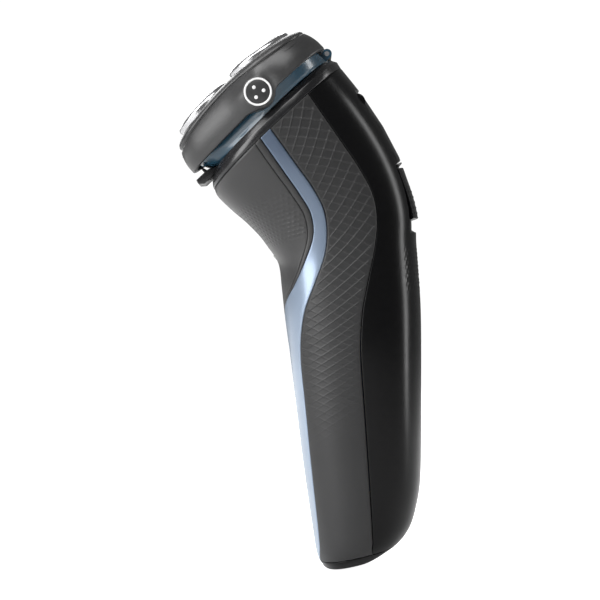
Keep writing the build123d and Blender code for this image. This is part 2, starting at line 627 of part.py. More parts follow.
def build_motor():
    can = head_rod(0, CAP_CENTRE_U, MOTOR_RADIUS, MOTOR_TOP - MOTOR_LENGTH, MOTOR_TOP)
    can -= head_rod(0, CAP_CENTRE_U, MOTOR_RADIUS - 1.0, MOTOR_TOP - MOTOR_LENGTH + 1.2, MOTOR_TOP - 1.2)
    can -= head_rod(0, CAP_CENTRE_U, 2.3, MOTOR_TOP - 3, MOTOR_TOP + 1)
    save("motor_can", can)
    bush = head_rod(0, CAP_CENTRE_U, 2.28, MOTOR_TOP - 1.2, MOTOR_TOP)
    bush -= head_rod(0, CAP_CENTRE_U, SHAFT_RADIUS + RUNNING, MOTOR_TOP - 3, MOTOR_TOP + 1)
    save("motor_bush", bush)
    low, high = MOTOR_TOP - MOTOR_LENGTH + 3.0, MOTOR_TOP - 3.0
    rotor = head_rod(0, CAP_CENTRE_U, 8.2, low + 2, high - 2)
    rotor -= [HEAD * Pos(0, CAP_CENTRE_U, (low + high) / 2) * Rot(0, 0, 120 * slot) * Pos(8.2, 0, 0) * Box(
        5.0, 2.4, high - low) for slot in range(3)]
    rotor -= head_rod(0, CAP_CENTRE_U, SHAFT_RADIUS + 0.01, low - 1, high + 1)
    save("motor_rotor", rotor)
    shaft = head_rod(0, CAP_CENTRE_U, SHAFT_RADIUS - 0.02, MOTOR_TOP - MOTOR_LENGTH + 1.4,
                     GEAR_LEVEL + GEAR_WIDTH - 0.2)
    save("motor_shaft", shaft)
    magnets = None
    for side in (0, 180):
        shell = head_rod(0, CAP_CENTRE_U, MOTOR_RADIUS - 1.02, low + 2.5, high - 2.5) - head_rod(
            0, CAP_CENTRE_U, 8.7, low, high)
        wedge = HEAD * Pos(0, CAP_CENTRE_U, (low + high) / 2) * Rot(0, 0, side) * Pos(0, 10, 0) * Box(
            16, 10, high - low)
        magnets = (shell & wedge) if magnets is None else magnets + (shell & wedge)
    save("motor_magnets", magnets)


# ---- inside the handle ----------------------------------------------------------------------


def upright_block(xs, ys, zs):
    size = [high - low for low, high in (xs, ys, zs)]
    centre = [(high + low) / 2 for low, high in (xs, ys, zs)]
    return Pos(*centre) * Box(*size)


def build_inside():
    cell = Pos(0, BATTERY_Y, (BATTERY_LOW + BATTERY_HIGH) / 2) * Cylinder(
        BATTERY_RADIUS, BATTERY_HIGH - BATTERY_LOW)
    nub = Pos(0, BATTERY_Y, BATTERY_HIGH + 0.5) * Cylinder(2.6, 1.0)
    save("battery_cell", cell + nub)
    reach = (BATTERY_Y - 11.5, BATTERY_Y + 4)
    contacts = upright_block((-4, 4), reach, (BATTERY_HIGH + 1.05, BATTERY_HIGH + 1.5))
    contacts += upright_block((-4, 4), reach, (BATTERY_LOW - 0.6, BATTERY_LOW - 0.1))
    save("battery_contacts", contacts)
    board = upright_block((-11, 11), (BOARD_Y - 1.6, BOARD_Y), (27, 84))
    save("circuit_board", board)
    chips = upright_block((-4, 4), (BOARD_Y - 2.8, BOARD_Y - 1.62), (50, 58))
    chips += upright_block((-6, -2), (BOARD_Y - 2.6, BOARD_Y - 1.62), (36, 41))
    chips += upright_block((3, 8), (BOARD_Y - 3.0, BOARD_Y - 1.62), (64, 74))
    save("board_components", chips)

    frame = upright_block((-13, 13), (BOARD_Y + 0.6, BOARD_Y + 2.2), (14, 100))
    for low in (BATTERY_LOW - 3.4, BATTERY_HIGH + 2.2):
        frame += upright_block((-11, 11), (BOARD_Y + 1.5, BATTERY_Y + 9), (low, low + 2.0))
    cradle = head_rod(0, CAP_CENTRE_U, MOTOR_RADIUS + 2.4, MOTOR_TOP - MOTOR_LENGTH - 1.6, MOTOR_TOP - 12)
    cradle -= head_rod(0, CAP_CENTRE_U, MOTOR_RADIUS + 0.05, MOTOR_TOP - MOTOR_LENGTH - 0.02, MOTOR_TOP)
    frame += cradle
    frame += upright_block((-8, 8), (BOARD_Y + 0.6, BOARD_Y + 4), (96, 106)) - head_rod(
        0, CAP_CENTRE_U, MOTOR_RADIUS + 0.05, MOTOR_TOP - MOTOR_LENGTH - 0.02, MOTOR_TOP)
    save("inner_frame", frame)


def foot_slot(length, width, low, high):
    return extrude(FOOT.offset(low) * (Pos(0, SOCKET_Y) * SlotOverall(length, width)), high - low)


def foot_rod(x, radius, low, high):
    return extrude(FOOT.offset(low) * (Pos(x, SOCKET_Y) * Circle(radius)), high - low)


def section_face(station, inset, raised):
    points = [section_point(station, 7.5 + angle, inset) for angle in range(0, 360, 15)]
    return make_face(Spline(points, periodic=True)).moved(Location(FOOT.z_dir * raised))


def build_foot():
    cavity = loft([section_face(0, 2.2, 1.8), section_face(1, 2.2, 0.5)], ruled=True)
    save("bottom_cap", handle_core(0.0, [0, 1]) - cavity - foot_slot(8.0, 4.8, -1, 4))
    cup = foot_slot(7.9, 4.7, 0.3, 9.5) + foot_slot(10.0, 6.2, 1.9, 3.0) - foot_slot(6.8, 3.6, -1, 8.3)
    for x in (-1.7, 1.7):
        cup -= foot_rod(x, 0.71, 7, 12)
    save("power_socket", cup)
    save("socket_pins", foot_rod(-1.7, 0.7, 2.3, 12) + foot_rod(1.7, 0.7, 2.3, 12))


foot_front, foot_back = station_point(0, 0), station_point(0, 1)
FOOT = Plane(origin=(0, 0, 0), x_dir=(1, 0, 0), z_dir=Vector(1, 0, 0).cross(foot_back - foot_front))


# ---- switch behind the button ---------------------------------------------------------------
def build_switch():
    body = BUTTON_PLANE * Pos(0, 0, -7.0) * Box(6.2, 6.2, 2.0)
    body -= extrude(BUTTON_PLANE.offset(-7.4) * Circle(1.9), 3)
    save("tact_switch", body)
    save("switch_plunger", extrude(BUTTON_PLANE.offset(-6.8) * Circle(1.5), 1.4))
    save("switch_board", BUTTON_PLANE * Pos(0, -3.5, -8.65) * Box(15, 17, 1.2))


# ---- trimmer --------------------------------------------------------------------------------


def toothed_blade(half, low, high, teeth, root, tip):
    """A comb on the trimmer frame: a bar with a row of teeth pointing down the back."""
    bar = ARM_PLANE * Pos(0, (root + 3.2 + root) / 2, (low + high) / 2) * Box(2 * half, 3.2, high - low)
    rake = [ARM_PLANE * Pos((tooth - (teeth - 1) / 2) * TOOTH_PITCH, (root + tip) / 2, (low + high) / 2)
            * Box(0.6, root - tip + 0.1, high - low) for tooth in range(teeth)]
    return bar + rake


def build_trimmer():
    skin = panel(range(COLLAR_STATION - 4, COLLAR_STATION + 1), lambda s: (130, 230), inner=3.2, points=11)
    arm = skin & arm_box(ARM_HALF, 0.0, ARM_LENGTH - 0.1, 6, 12)
    nose = ARM_PLANE * Rot(0, 90, 0) * Cylinder(ARM_NOSE, 2 * ARM_HALF)
    bridge = ARM_PLANE * Pos(0, -2.0, 0.2) * Box(2 * ARM_HALF, 4.0, 3.2)
    arm = arm + nose + bridge
    arm -= ARM_PLANE * Rot(0, 90, 0) * Cylinder(ARM_PIN_RADIUS + RUNNING, 60)
    arm -= ARM_PLANE * Pos(0, -ARM_LENGTH + 3.4, -1.6) * Box(2 * ARM_HALF - 2.4, 7.6, 4.4)
    save("trimmer_arm", arm)
    save("trimmer_hinge_pin", ARM_PLANE * Rot(0, 90, 0) * Cylinder(ARM_PIN_RADIUS, 2 * ARM_HALF + 3))
    root, tip = -ARM_LENGTH + 2.8, -ARM_LENGTH + 0.2
    save("trimmer_fixed_comb", toothed_blade(9.3, -0.1, 0.5, 15, root, tip))
    save("trimmer_moving_blade", toothed_blade(8.2, -0.9, -0.3, 13, root, tip + 0.3))

    plate = panel(range(COLLAR_STATION - 6, COLLAR_STATION - 1),
                  lambda s: (180 - SLIDE_ANGLE, 180 + SLIDE_ANGLE), inner=SLIDE_DEPTH)
    lip = panel(range(COLLAR_STATION - 6, COLLAR_STATION - 3),
                lambda s: (180 - SLIDE_ANGLE + 3, 180 + SLIDE_ANGLE - 3), outer=-0.8, inner=SLIDE_DEPTH)
    slide = plate & Pos(0, 20, (SLIDE_TOP + SLIDE_FOOT) / 2) * Box(60, 60, SLIDE_TOP - SLIDE_FOOT)
    slide += lip & Pos(0, 20, SLIDE_FOOT + 2.0) * Box(60, 60, 4.0)
    slide += SLIDE_PLANE * Pos(0, 1.0, -2.4) * Box(4.0, 4.0, 3.6)
    save("trimmer_slide", slide)


def build_fastenings():
    screws, seals = None, None
    for x in (-SCREW_X, SCREW_X):
        screw = head_rod(x, SCREW_U, 1.5, UPPER_PLATE[1] + 0.02, UPPER_PLATE[1] + 0.8)
        screw += head_rod(x, SCREW_U, 0.65, LOWER_PLATE[1] + 1.5, UPPER_PLATE[1] + 0.1)
        screws = screw if screws is None else screws + screw
    save("gearbox_screws", screws)
    for x, u in cap_centres():
        seal = head_rod(x, u, 3.4, UPPER_PLATE[1] + 0.02, CHAMBER_FLOOR - 0.1) - head_rod(
            x, u, SPINDLE_RADIUS + RUNNING, -14, -5)
        seals = seal if seals is None else seals + seal
    save("spindle_seals", seals)


def build_all():
    build_handle_shells()
    build_front_panel()
    build_collar()
    build_head()
    build_chamber()
    build_latch()
    build_head_carrier()
    build_caps()
    build_retaining_frame()
    build_drive()
    build_gearbox()
    build_motor()
    build_inside()
    build_foot()
    build_switch()
    build_trimmer()
    build_fastenings()


build_all()
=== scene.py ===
"""Rotary electric shaver: looks built around the fixed frame, laid out as an add-on."""
import json
import math

import bmesh
import bpy
import numpy as np
from mathutils import Matrix, Vector


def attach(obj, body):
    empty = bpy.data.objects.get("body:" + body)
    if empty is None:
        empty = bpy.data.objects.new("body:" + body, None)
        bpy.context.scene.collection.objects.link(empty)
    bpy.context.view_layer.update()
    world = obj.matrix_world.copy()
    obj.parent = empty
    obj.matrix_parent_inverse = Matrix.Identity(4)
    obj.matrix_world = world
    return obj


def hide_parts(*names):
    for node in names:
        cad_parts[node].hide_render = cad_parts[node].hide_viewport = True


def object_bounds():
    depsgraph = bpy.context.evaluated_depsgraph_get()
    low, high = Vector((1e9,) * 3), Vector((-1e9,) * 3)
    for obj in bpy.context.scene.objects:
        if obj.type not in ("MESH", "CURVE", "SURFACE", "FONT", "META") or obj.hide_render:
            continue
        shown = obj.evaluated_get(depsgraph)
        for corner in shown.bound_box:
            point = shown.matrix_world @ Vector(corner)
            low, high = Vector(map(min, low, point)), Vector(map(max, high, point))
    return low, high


bl_info = {
    "name": "Rotary Shaver Finish",
    "version": (1, 0, 0),
    "blender": (4, 5, 0),
    "location": "View3D > Sidebar > Shaver",
    "description": "Builds the shells, head, caps and finishes of a rotary electric shaver",
    "category": "Object",
}

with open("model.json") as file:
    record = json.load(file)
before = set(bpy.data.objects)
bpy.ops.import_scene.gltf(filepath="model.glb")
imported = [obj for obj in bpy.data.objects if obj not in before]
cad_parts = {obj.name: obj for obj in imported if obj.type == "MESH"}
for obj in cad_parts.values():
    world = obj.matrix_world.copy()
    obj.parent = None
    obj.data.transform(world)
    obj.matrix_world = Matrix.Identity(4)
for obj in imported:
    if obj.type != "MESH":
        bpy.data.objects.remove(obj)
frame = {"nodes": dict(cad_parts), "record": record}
CAD_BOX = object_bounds()
MM = 0.001
RIGHT = Vector((1, 0, 0))

# ---- handle form, millimetres: front y, front z, back y, back z, half width --------------------
STATIONS = np.array([
    (-8.9, -1.88, 6.3, 1.33, 14.5), (-11.0, 0.4, 13.2, 6.0, 18.2), (-12.2, 4.2, 17.1, 11.2, 20.2),
    (-13.0, 9.6, 19.1, 17.9, 21.3), (-14.2, 17.4, 20.2, 25.4, 22.2), (-16.2, 31.4, 20.5, 37.4, 23.0),
    (-18.2, 47.4, 20.5, 51.4, 23.8), (-20.1, 63.4, 20.5, 67.4, 24.4), (-21.7, 75.4, 20.3, 79.4, 24.3),
    (-22.7, 84.4, 19.6, 89.9, 23.9), (-23.7, 91.9, 19.0, 98.4, 23.5), (-26.6, 96.7, 18.7, 107.4, 23.3),
    (-30.6, 101.6, 17.1, 115.6, 23.5), (-34.9, 105.8, 13.7, 125.0, 24.0),
    (-39.2, 109.6, 8.7, 134.5, 24.8), (-42.4, 112.8, 2.4, 143.9, 25.4), (-43.5, 115.0, -4.2, 152.2, 25.9),
])
TOP = len(STATIONS) - 1
FORK = 8
ROUNDNESS = 2.35
SEAM = 0.15

# Side seams as points (y, z), from the foot to the collar
COVER_SEAM = [(5.6, -4), (4.6, 12), (3.6, 28), (2.4, 45), (1.3, 60), (0.8, 71), (2.2, 82), (4.8, 93),
              (6.2, 102), (5.8, 110), (2.6, 117.4), (-4.6, 128), (-18.5, 148)]
TRIM_REAR = [(-10.4, -4), (-11.7, 12), (-13.3, 26), (-15.2, 45), (-16.9, 62), (-17.4, 72),
             (-13.5, 83.6), (-9.9, 93), (-9.0, 101), (-9.4, 106.5), (-12.6, 113.3), (-24.0, 129.2),
             (-32, 140)]
TRIM_FRONT = [(-22.6, 77.5), (-19.4, 84), (-15.4, 92.9), (-12.8, 101), (-13.2, 105.4), (-17.6, 113),
              (-28.5, 128.4), (-36, 139)]

# ---- head form, millimetres in head coordinates (x, u towards the back, a out of the head) ------
JOINTS = {joint["name"]: joint for joint in frame["record"]["behaviour"]["joints"]}
HEAD_PIVOT = Vector(JOINTS["head_pivot"]["pos_m"]) / MM
HEAD_A = Vector(JOINTS["motor_spin"]["axis"]).normalized()
HEAD_U = HEAD_A.cross(RIGHT).normalized()
CAP_CIRCLE = 15.0
CAP_CENTRE_U = 1.0
PROFILE = [(-2.6, 16.2), (0.5, 16.1), (3.0, 15.5), (5.6, 14.3), (7.6, 12.7), (9.0, 10.9), (10.0, 8.6)]
PLATE_RADIUS = 8.4
DOME_HEIGHT, DOME_RADIUS, DOME_CENTRE_U = 9.8, 120.0, -6.0
SEAM_LINE = [(-30, 4.4), (-27, 5.4), (-22, 6.7), (-16, 7.6), (-9, 8.0), (-3, 7.7), (2, 6.9), (7, 6.0),
             (13, 5.3), (18, 5.0), (24, 4.9)]


def body_point(station, angle, inset):
    """Points on the handle's surface for arrays of station number and angle, set in by inset."""
    row = section(station)
    front = row[..., 0:2]
    back = row[..., 2:4]
    middle = (front + back) / 2
    forward = front - middle
    depth = np.linalg.norm(forward, axis=-1)
    cosine, sine = np.cos(angle), np.sin(angle)
    power = 2 / ROUNDNESS
    along = np.sign(cosine) * np.abs(cosine) ** power * (depth - inset)
    across = np.sign(sine) * np.abs(sine) ** power * (row[..., 4] - inset)
    y = middle[..., 0] + forward[..., 0] / depth * along
    z = middle[..., 1] + forward[..., 1] / depth * along
    return np.stack([across, y, z], axis=-1) * MM


def blend_rows(values, place):
    """Smooth interpolation of station values at fractional station numbers."""
    place = np.clip(np.asarray(place, float), 0, TOP)
    low = np.minimum(place.astype(int), TOP - 1)
    share = place - low
    if values.ndim > 1:
        share = share[..., None]
    before, after = values[np.maximum(low - 1, 0)], values[np.minimum(low + 2, TOP)]
    here, there = values[low], values[low + 1]
    before = np.where((low == 0)[..., None] if values.ndim > 1 else low == 0, 2 * here - there, before)
    after = np.where((low == TOP - 1)[..., None] if values.ndim > 1 else low == TOP - 1,
                     2 * there - here, after)
    slope_here, slope_there = (there - before) / 2, (after - here) / 2
    square, cube = share ** 2, share ** 3
    return (here * (2 * cube - 3 * square + 1) + slope_here * (cube - 2 * square + share)
            + there * (3 * square - 2 * cube) + slope_there * (cube - square))


def section(station):
    """Section of the handle at a station: its front, its back and its half width."""
    return blend_rows(STATIONS, station)


def seam_angles(seam):
    """Angle of a side seam at every station, from its points seen from the side."""
    angles = []
    for front_y, front_z, back_y, back_z, _ in STATIONS:
        dy, dz = back_y - front_y, back_z - front_z
        found = None
        for (y0, z0), (y1, z1) in zip(seam, seam[1:]):
            ey, ez = y1 - y0, z1 - z0
            cross = dy * ez - dz * ey
            if abs(cross) < 1e-9:
                continue
            share = ((y0 - front_y) * ez - (z0 - front_z) * ey) / cross
            along = ((y0 - front_y) * dz - (z0 - front_z) * dy) / cross
            if -0.001 <= along <= 1.001:
                found = share
        cosine = max(-1.0, min(1.0, 1 - 2 * found)) if found is not None else 1.0
        angles.append(math.acos(math.copysign(abs(cosine) ** (ROUNDNESS / 2), cosine)))
    return np.array(angles)


COVER_ANGLES = seam_angles(COVER_SEAM)
REAR_ANGLES = seam_angles(TRIM_REAR)
FRONT_ANGLES = np.maximum(seam_angles(TRIM_FRONT), math.radians(1.6))
FRONT_ANGLES[:FORK] = 0.0


# ---- mesh helpers ----------------------------------------------------------------------------
def new_object(name, vertices, faces, smooth=True):
    """Makes a mesh object and links it to the scene."""
    mesh = bpy.data.meshes.new(name)
    mesh.from_pydata([tuple(v) for v in vertices], [], [tuple(f) for f in faces])
    mesh.validate()
    if smooth:
        mesh.shade_smooth()
    piece = bpy.data.objects.new(name, mesh)
    bpy.context.scene.collection.objects.link(piece)
    return piece


def grid_faces(rows, columns, start=0, closed=False):
    """Quads over a grid of vertices, closed round its columns if asked."""
    faces = []
    wide = columns if closed else columns - 1
    for row in range(rows - 1):
        base = start + row * columns
        for column in range(wide):
            right = (column + 1) % columns
            faces.append((base + column, base + right, base + columns + right, base + columns + column))
    return faces


def flipped(faces):
    """The same faces, looking the other way."""
    return [tuple(reversed(face)) for face in faces]


def eased(count, edge, length):
    """Positions along a length, with extra ones near both ends for a rounded edge."""
    edge_steps = np.array([0.0, 0.12, 0.3, 0.6, 1.0]) * edge
    inner = np.linspace(edge, length - edge, max(count, 3))
    return np.concatenate([edge_steps[:-1], inner, (length - edge_steps[:-1])[::-1]])


def rounded_drop(distance, radius):
    """How far a rounded edge falls at a distance from the edge."""
    reach = np.clip(radius - distance, 0, radius)
    return radius - np.sqrt(np.maximum(radius ** 2 - reach ** 2, 0))


def run_along(stations, angle):
    """Millimetres run along the handle's surface at each of a row of stations."""
    spine = body_point(stations, angle, np.zeros_like(stations)) / MM
    return np.concatenate([[0], np.cumsum(np.linalg.norm(np.diff(spine, axis=0), axis=1))])


def panel_mesh(name, low, high, left, right, rows, columns, relief=None, wall=1.7, edge=0.35,
               ends=(True, True), lines=()):
    """A moulded panel between two stations and two angle curves, with rounded edges and real thickness."""
    fine = np.linspace(low, high, 400)
    run = run_along(fine, (left(fine) + right(fine)) / 2)
    along = eased(rows, edge, run[-1])
    stations = np.interp(along, run, fine)
    steps = np.concatenate([np.array([0.0, 0.12, 0.3, 0.6]) * edge, lines])
    count = len(steps)
    across = 2 * count + columns
    t = np.repeat(stations[:, None], across, axis=1)
    a, b = left(stations)[:, None], right(stations)[:, None]
    width = np.linalg.norm(body_point(stations, left(stations), 0 * stations)
                           - body_point(stations, right(stations), 0 * stations), axis=1)[:, None] / MM
    width = np.maximum(width, (b - a) * 20)
    # columns beside the edges keep a constant real width
    start = steps[-1] + edge * 0.4
    s = np.zeros((len(stations), across))
    s[:, :count] = steps / width
    s[:, -count:] = 1 - steps[::-1] / width
    s[:, count:-count] = start / width + np.linspace(0, 1, columns) * (1 - 2 * start / width)
    angle = a + (b - a) * s
    from_side = np.minimum(s, 1 - s) * width
    from_end = np.full_like(s, 10.0)
    if ends[0]:
        from_end = np.minimum(from_end, along[:, None])
    if ends[1]:
        from_end = np.minimum(from_end, run[-1] - along[:, None])
    drop = np.maximum(rounded_drop(from_side, edge), rounded_drop(from_end, edge))
    if relief is not None:
        drop = drop - relief(along[:, None] + 0 * s, s * width, (1 - s) * width, t, angle)
    outer = body_point(t, angle, drop).reshape(-1, 3)
    n, m, k = len(stations), across, 7
    inside = body_point(np.repeat(stations[:, None], k, axis=1), a + (b - a) * np.linspace(0, 1, k),
                        np.full((n, k), wall)).reshape(-1, 3)
    faces = grid_faces(n, m)
    faces += flipped(grid_faces(n, k, start=n * m))
    for row in range(n - 1):
        o, i = row * m, n * m + row * k
        faces.append((o, o + m, i + k, i))
        faces.append((o + m - 1, i + k - 1, i + 2 * k - 1, o + 2 * m - 1))
    first_outer = list(range(m))
    first_inner = [n * m + c for c in range(k)]
    last_outer = [(n - 1) * m + c for c in range(m)]
    last_inner = [n * m + (n - 1) * k + c for c in range(k)]
    faces.append(tuple(first_outer[::-1] + first_inner))
    faces.append(tuple(last_outer + last_inner[::-1]))
    piece = new_object(name, np.concatenate([outer, inside]), faces)
    uv = piece.data.uv_layers.new(name="Surface")
    flat = np.zeros((len(piece.data.vertices), 2))
    rows_at, columns_at = lattice_place(t, np.abs(angle))
    flat[:n * m, 0] = rows_at.reshape(-1)
    flat[:n * m, 1] = columns_at.reshape(-1)
    loops = np.zeros(len(piece.data.loops), dtype=np.int32)
    piece.data.loops.foreach_get("vertex_index", loops)
    uv.data.foreach_set("uv", flat[loops].reshape(-1).astype(np.float32))
    return piece


def rides(piece, body, *nodes, finish=None, slot=None):
    """Puts a piece on a body, hides the frame nodes it stands in for, and gives it its finish."""
    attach(piece, body)
    if nodes:
        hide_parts(*nodes)
    if finish is not None:
        piece.data.materials.clear()
        piece.data.materials.append(finish)
    return piece


# ---- shader node groups ----------------------------------------------------------------------
def group(name, inputs, outputs):
    """A new shader node group with its named inputs and outputs."""
    tree = bpy.data.node_groups.new(name, "ShaderNodeTree")
    for label, kind, value in inputs:
        socket = tree.interface.new_socket(name=label, in_out="INPUT", socket_type=kind)
        socket.default_value = value
    for label, kind in outputs:
        tree.interface.new_socket(name=label, in_out="OUTPUT", socket_type=kind)
    return tree, tree.nodes.new("NodeGroupInput"), tree.nodes.new("NodeGroupOutput")


def math_node(tree, operation, first, second=None, clamp=False):
    """A maths node whose inputs are numbers or sockets."""
    node = tree.nodes.new("ShaderNodeMath")
    node.operation = operation
    node.use_clamp = clamp
    for index, value in enumerate((first, second)):
        if value is None:
            continue
        if isinstance(value, (int, float)):
            node.inputs[index].default_value = value
        else:
            tree.links.new(value, node.inputs[index])
    return node.outputs[0]


def mix_node(tree, factor, first, second, blend="MIX"):
    """Mixes two colours, each a colour or a socket, by a number or a socket."""
    node = tree.nodes.new("ShaderNodeMix")
    node.data_type = "RGBA"
    node.blend_type = blend
    for label, value in (("Factor", factor), ("A", first), ("B", second)):
        if isinstance(value, bpy.types.NodeSocket):
            tree.links.new(value, node.inputs[label])
        else:
            node.inputs[label].default_value = value if isinstance(value, float) else (*value, 1)
    return node.outputs["Result"]


def height_share(tree, low, high, top=1.0):
    """Rises from nothing to top between two heights on the object."""
    place = tree.nodes.new("ShaderNodeTexCoord")
    parts = tree.nodes.new("ShaderNodeSeparateXYZ")
    tree.links.new(place.outputs["Object"], parts.inputs[0])
    spread = tree.nodes.new("ShaderNodeMapRange")
    for label, value in (("From Min", low), ("From Max", high), ("To Max", top)):
        spread.inputs[label].default_value = value
    tree.links.new(parts.outputs["Z"], spread.inputs["Value"])
    return spread.outputs["Result"]


def grain_group():
    """Fine moulding grain: a value for roughness and a height for bump."""
    tree, source, result = group("MouldGrain", [("Scale", "NodeSocketFloat", 900.0)],
                                 [("Speckle", "NodeSocketFloat"), ("Mottle", "NodeSocketFloat")])
    place = tree.nodes.new("ShaderNodeTexCoord")
    fine = tree.nodes.new("ShaderNodeTexNoise")
    fine.inputs["Detail"].default_value = 3.0
    tree.links.new(place.outputs["Object"], fine.inputs["Vector"])
    tree.links.new(source.outputs["Scale"], fine.inputs["Scale"])
    broad = tree.nodes.new("ShaderNodeTexNoise")
    broad.inputs["Scale"].default_value = 45.0
    broad.inputs["Detail"].default_value = 4.0
    tree.links.new(place.outputs["Object"], broad.inputs["Vector"])
    tree.links.new(fine.outputs["Fac"], result.inputs["Speckle"])
    tree.links.new(broad.outputs["Fac"], result.inputs["Mottle"])
    return tree


def wear_group():
    """Mask that is bright on sharp edges, broken up by noise."""
    tree, source, result = group("EdgeWear", [("Width", "NodeSocketFloat", 1.0)],
                                 [("Mask", "NodeSocketFloat")])
    shape = tree.nodes.new("ShaderNodeNewGeometry")
    noise = tree.nodes.new("ShaderNodeTexNoise")
    noise.inputs["Scale"].default_value = 420.0
    place = tree.nodes.new("ShaderNodeTexCoord")
    tree.links.new(place.outputs["Object"], noise.inputs["Vector"])
    sharp = math_node(tree, "SUBTRACT", shape.outputs["Pointiness"], 0.52, True)
    edge = math_node(tree, "MULTIPLY", sharp, 9.0)
    broken = math_node(tree, "MULTIPLY", edge, noise.outputs["Fac"])
    wide = math_node(tree, "MULTIPLY", broken, source.outputs["Width"], True)
    tree.links.new(wide, result.inputs["Mask"])
    return tree


def lattice_group():
    """Diamond lattice in surface millimetres: thin raised lines with a small bead where they cross."""
    tree, source, result = group(
        "DiamondLattice",
        [("Length", "NodeSocketFloat", 2.3), ("Width", "NodeSocketFloat", 2.9),
         ("Line", "NodeSocketFloat", 0.1)],
        [("Height", "NodeSocketFloat")])
    place = tree.nodes.new("ShaderNodeUVMap")
    place.uv_map = "Surface"
    parts = tree.nodes.new("ShaderNodeSeparateXYZ")
    tree.links.new(place.outputs["UV"], parts.inputs[0])
    across = math_node(tree, "DIVIDE", parts.outputs["Y"], source.outputs["Width"])
    along = math_node(tree, "DIVIDE", parts.outputs["X"], source.outputs["Length"])
    lines = []
    for operation in ("ADD", "SUBTRACT"):
        phase = math_node(tree, "FRACT", math_node(tree, operation, along, across))
        offset = math_node(tree, "ABSOLUTE", math_node(tree, "SUBTRACT", phase, 0.5))
        near = math_node(tree, "SUBTRACT", 1.0, math_node(tree, "DIVIDE", math_node(
            tree, "SUBTRACT", 0.5, offset), source.outputs["Line"]), True)
        lines.append(near)
    crossing = math_node(tree, "MULTIPLY", lines[0], lines[1])
    high = math_node(tree, "MAXIMUM", lines[0], lines[1])
    total = math_node(tree, "ADD", math_node(tree, "MULTIPLY", high, 0.55),
                      math_node(tree, "MULTIPLY", crossing, 0.9))
    tree.links.new(total, result.inputs["Height"])
    return tree


GROUPS = {}


def placed(tree, name, **values):
    """Places a shared group in a material, with its own values."""
    node = tree.nodes.new("ShaderNodeGroup")
    node.node_tree = GROUPS[name]
    for label, value in values.items():
        node.inputs[label].default_value = value
    return node


def plastic(name, colour, roughness, grain=900.0, bump=0.05, variation=0.12, wear=0.25, coat=0.0,
            metallic=0.0, transmission=0.0, lattice=None, painted_shade_ramp=None, coat_roughness=0.05, gloss=0.5):
    """A moulded or painted finish with grain, slight mottling and rubbed edges, with optional painted shade
    up the object and optional painted highlights on lattice lines.
    """
    material = bpy.data.materials.new(name)
    material.use_nodes = True
    tree = material.node_tree
    shader = tree.nodes["Principled BSDF"]
    shader.inputs["Metallic"].default_value = metallic
    shader.inputs["Specular IOR Level"].default_value = gloss
    shader.inputs["Coat Weight"].default_value = coat
    shader.inputs["Coat Roughness"].default_value = coat_roughness
    shader.inputs["Transmission Weight"].default_value = transmission
    grains = placed(tree, "MouldGrain", Scale=grain)
    edges = placed(tree, "EdgeWear", Width=wear)
    dark = [c * (1 - variation) for c in colour]
    light = [min(1.0, c * (1 + variation)) for c in colour]
    tone = mix_node(tree, grains.outputs["Mottle"], dark, light)
    # Painted shade: darkens the colour up the object, standing in for how light falls on it.
    if painted_shade_ramp is not None:
        tone = height_painted_shade(tree, tone, *painted_shade_ramp)
    rubbed = [min(1.0, c * 1.5 + 0.02) for c in colour]
    surface = mix_node(tree, edges.outputs["Mask"], tone, rubbed)
    rough = math_node(tree, "ADD", roughness - 0.04, math_node(
        tree, "MULTIPLY", grains.outputs["Speckle"], 0.08), True)
    tree.links.new(rough, shader.inputs["Roughness"])
    height = math_node(tree, "MULTIPLY", grains.outputs["Speckle"], 0.00002)
    if lattice is not None:
        pattern = placed(tree, "DiamondLattice", Length=lattice[0], Width=lattice[1], Line=0.09)
        masked = height_mask(tree, pattern.outputs["Height"])
        # Painted highlight: raised lattice lines and their crossing beads are lightened in the colour as if
        # lit; the same mask also raises them by bump.
        surface = mix_node(tree, masked, surface, [min(1.0, c * 1.9 + 0.006) for c in colour])
        height = math_node(tree, "ADD", height, math_node(tree, "MULTIPLY", masked, lattice[2]))
    tree.links.new(surface, shader.inputs["Base Color"])
    relief = tree.nodes.new("ShaderNodeBump")
    relief.inputs["Strength"].default_value = bump
    relief.inputs["Distance"].default_value = 1.0
    tree.links.new(height, relief.inputs["Height"])
    tree.links.new(relief.outputs["Normal"], shader.inputs["Normal"])
    return material


def height_mask(tree, value):
    """Keeps a pattern's value only well above the foot."""
    return math_node(tree, "MULTIPLY", value, height_share(tree, 0.036, 0.07, 0.55), True)


def height_painted_shade(tree, colour, low, high, shade_low, shade_high):
    """Multiplies a colour by painted shade that changes up the object."""
    tint = mix_node(tree, height_share(tree, low, high), shade_low, shade_high)
    return mix_node(tree, 1.0, colour, tint, "MULTIPLY")


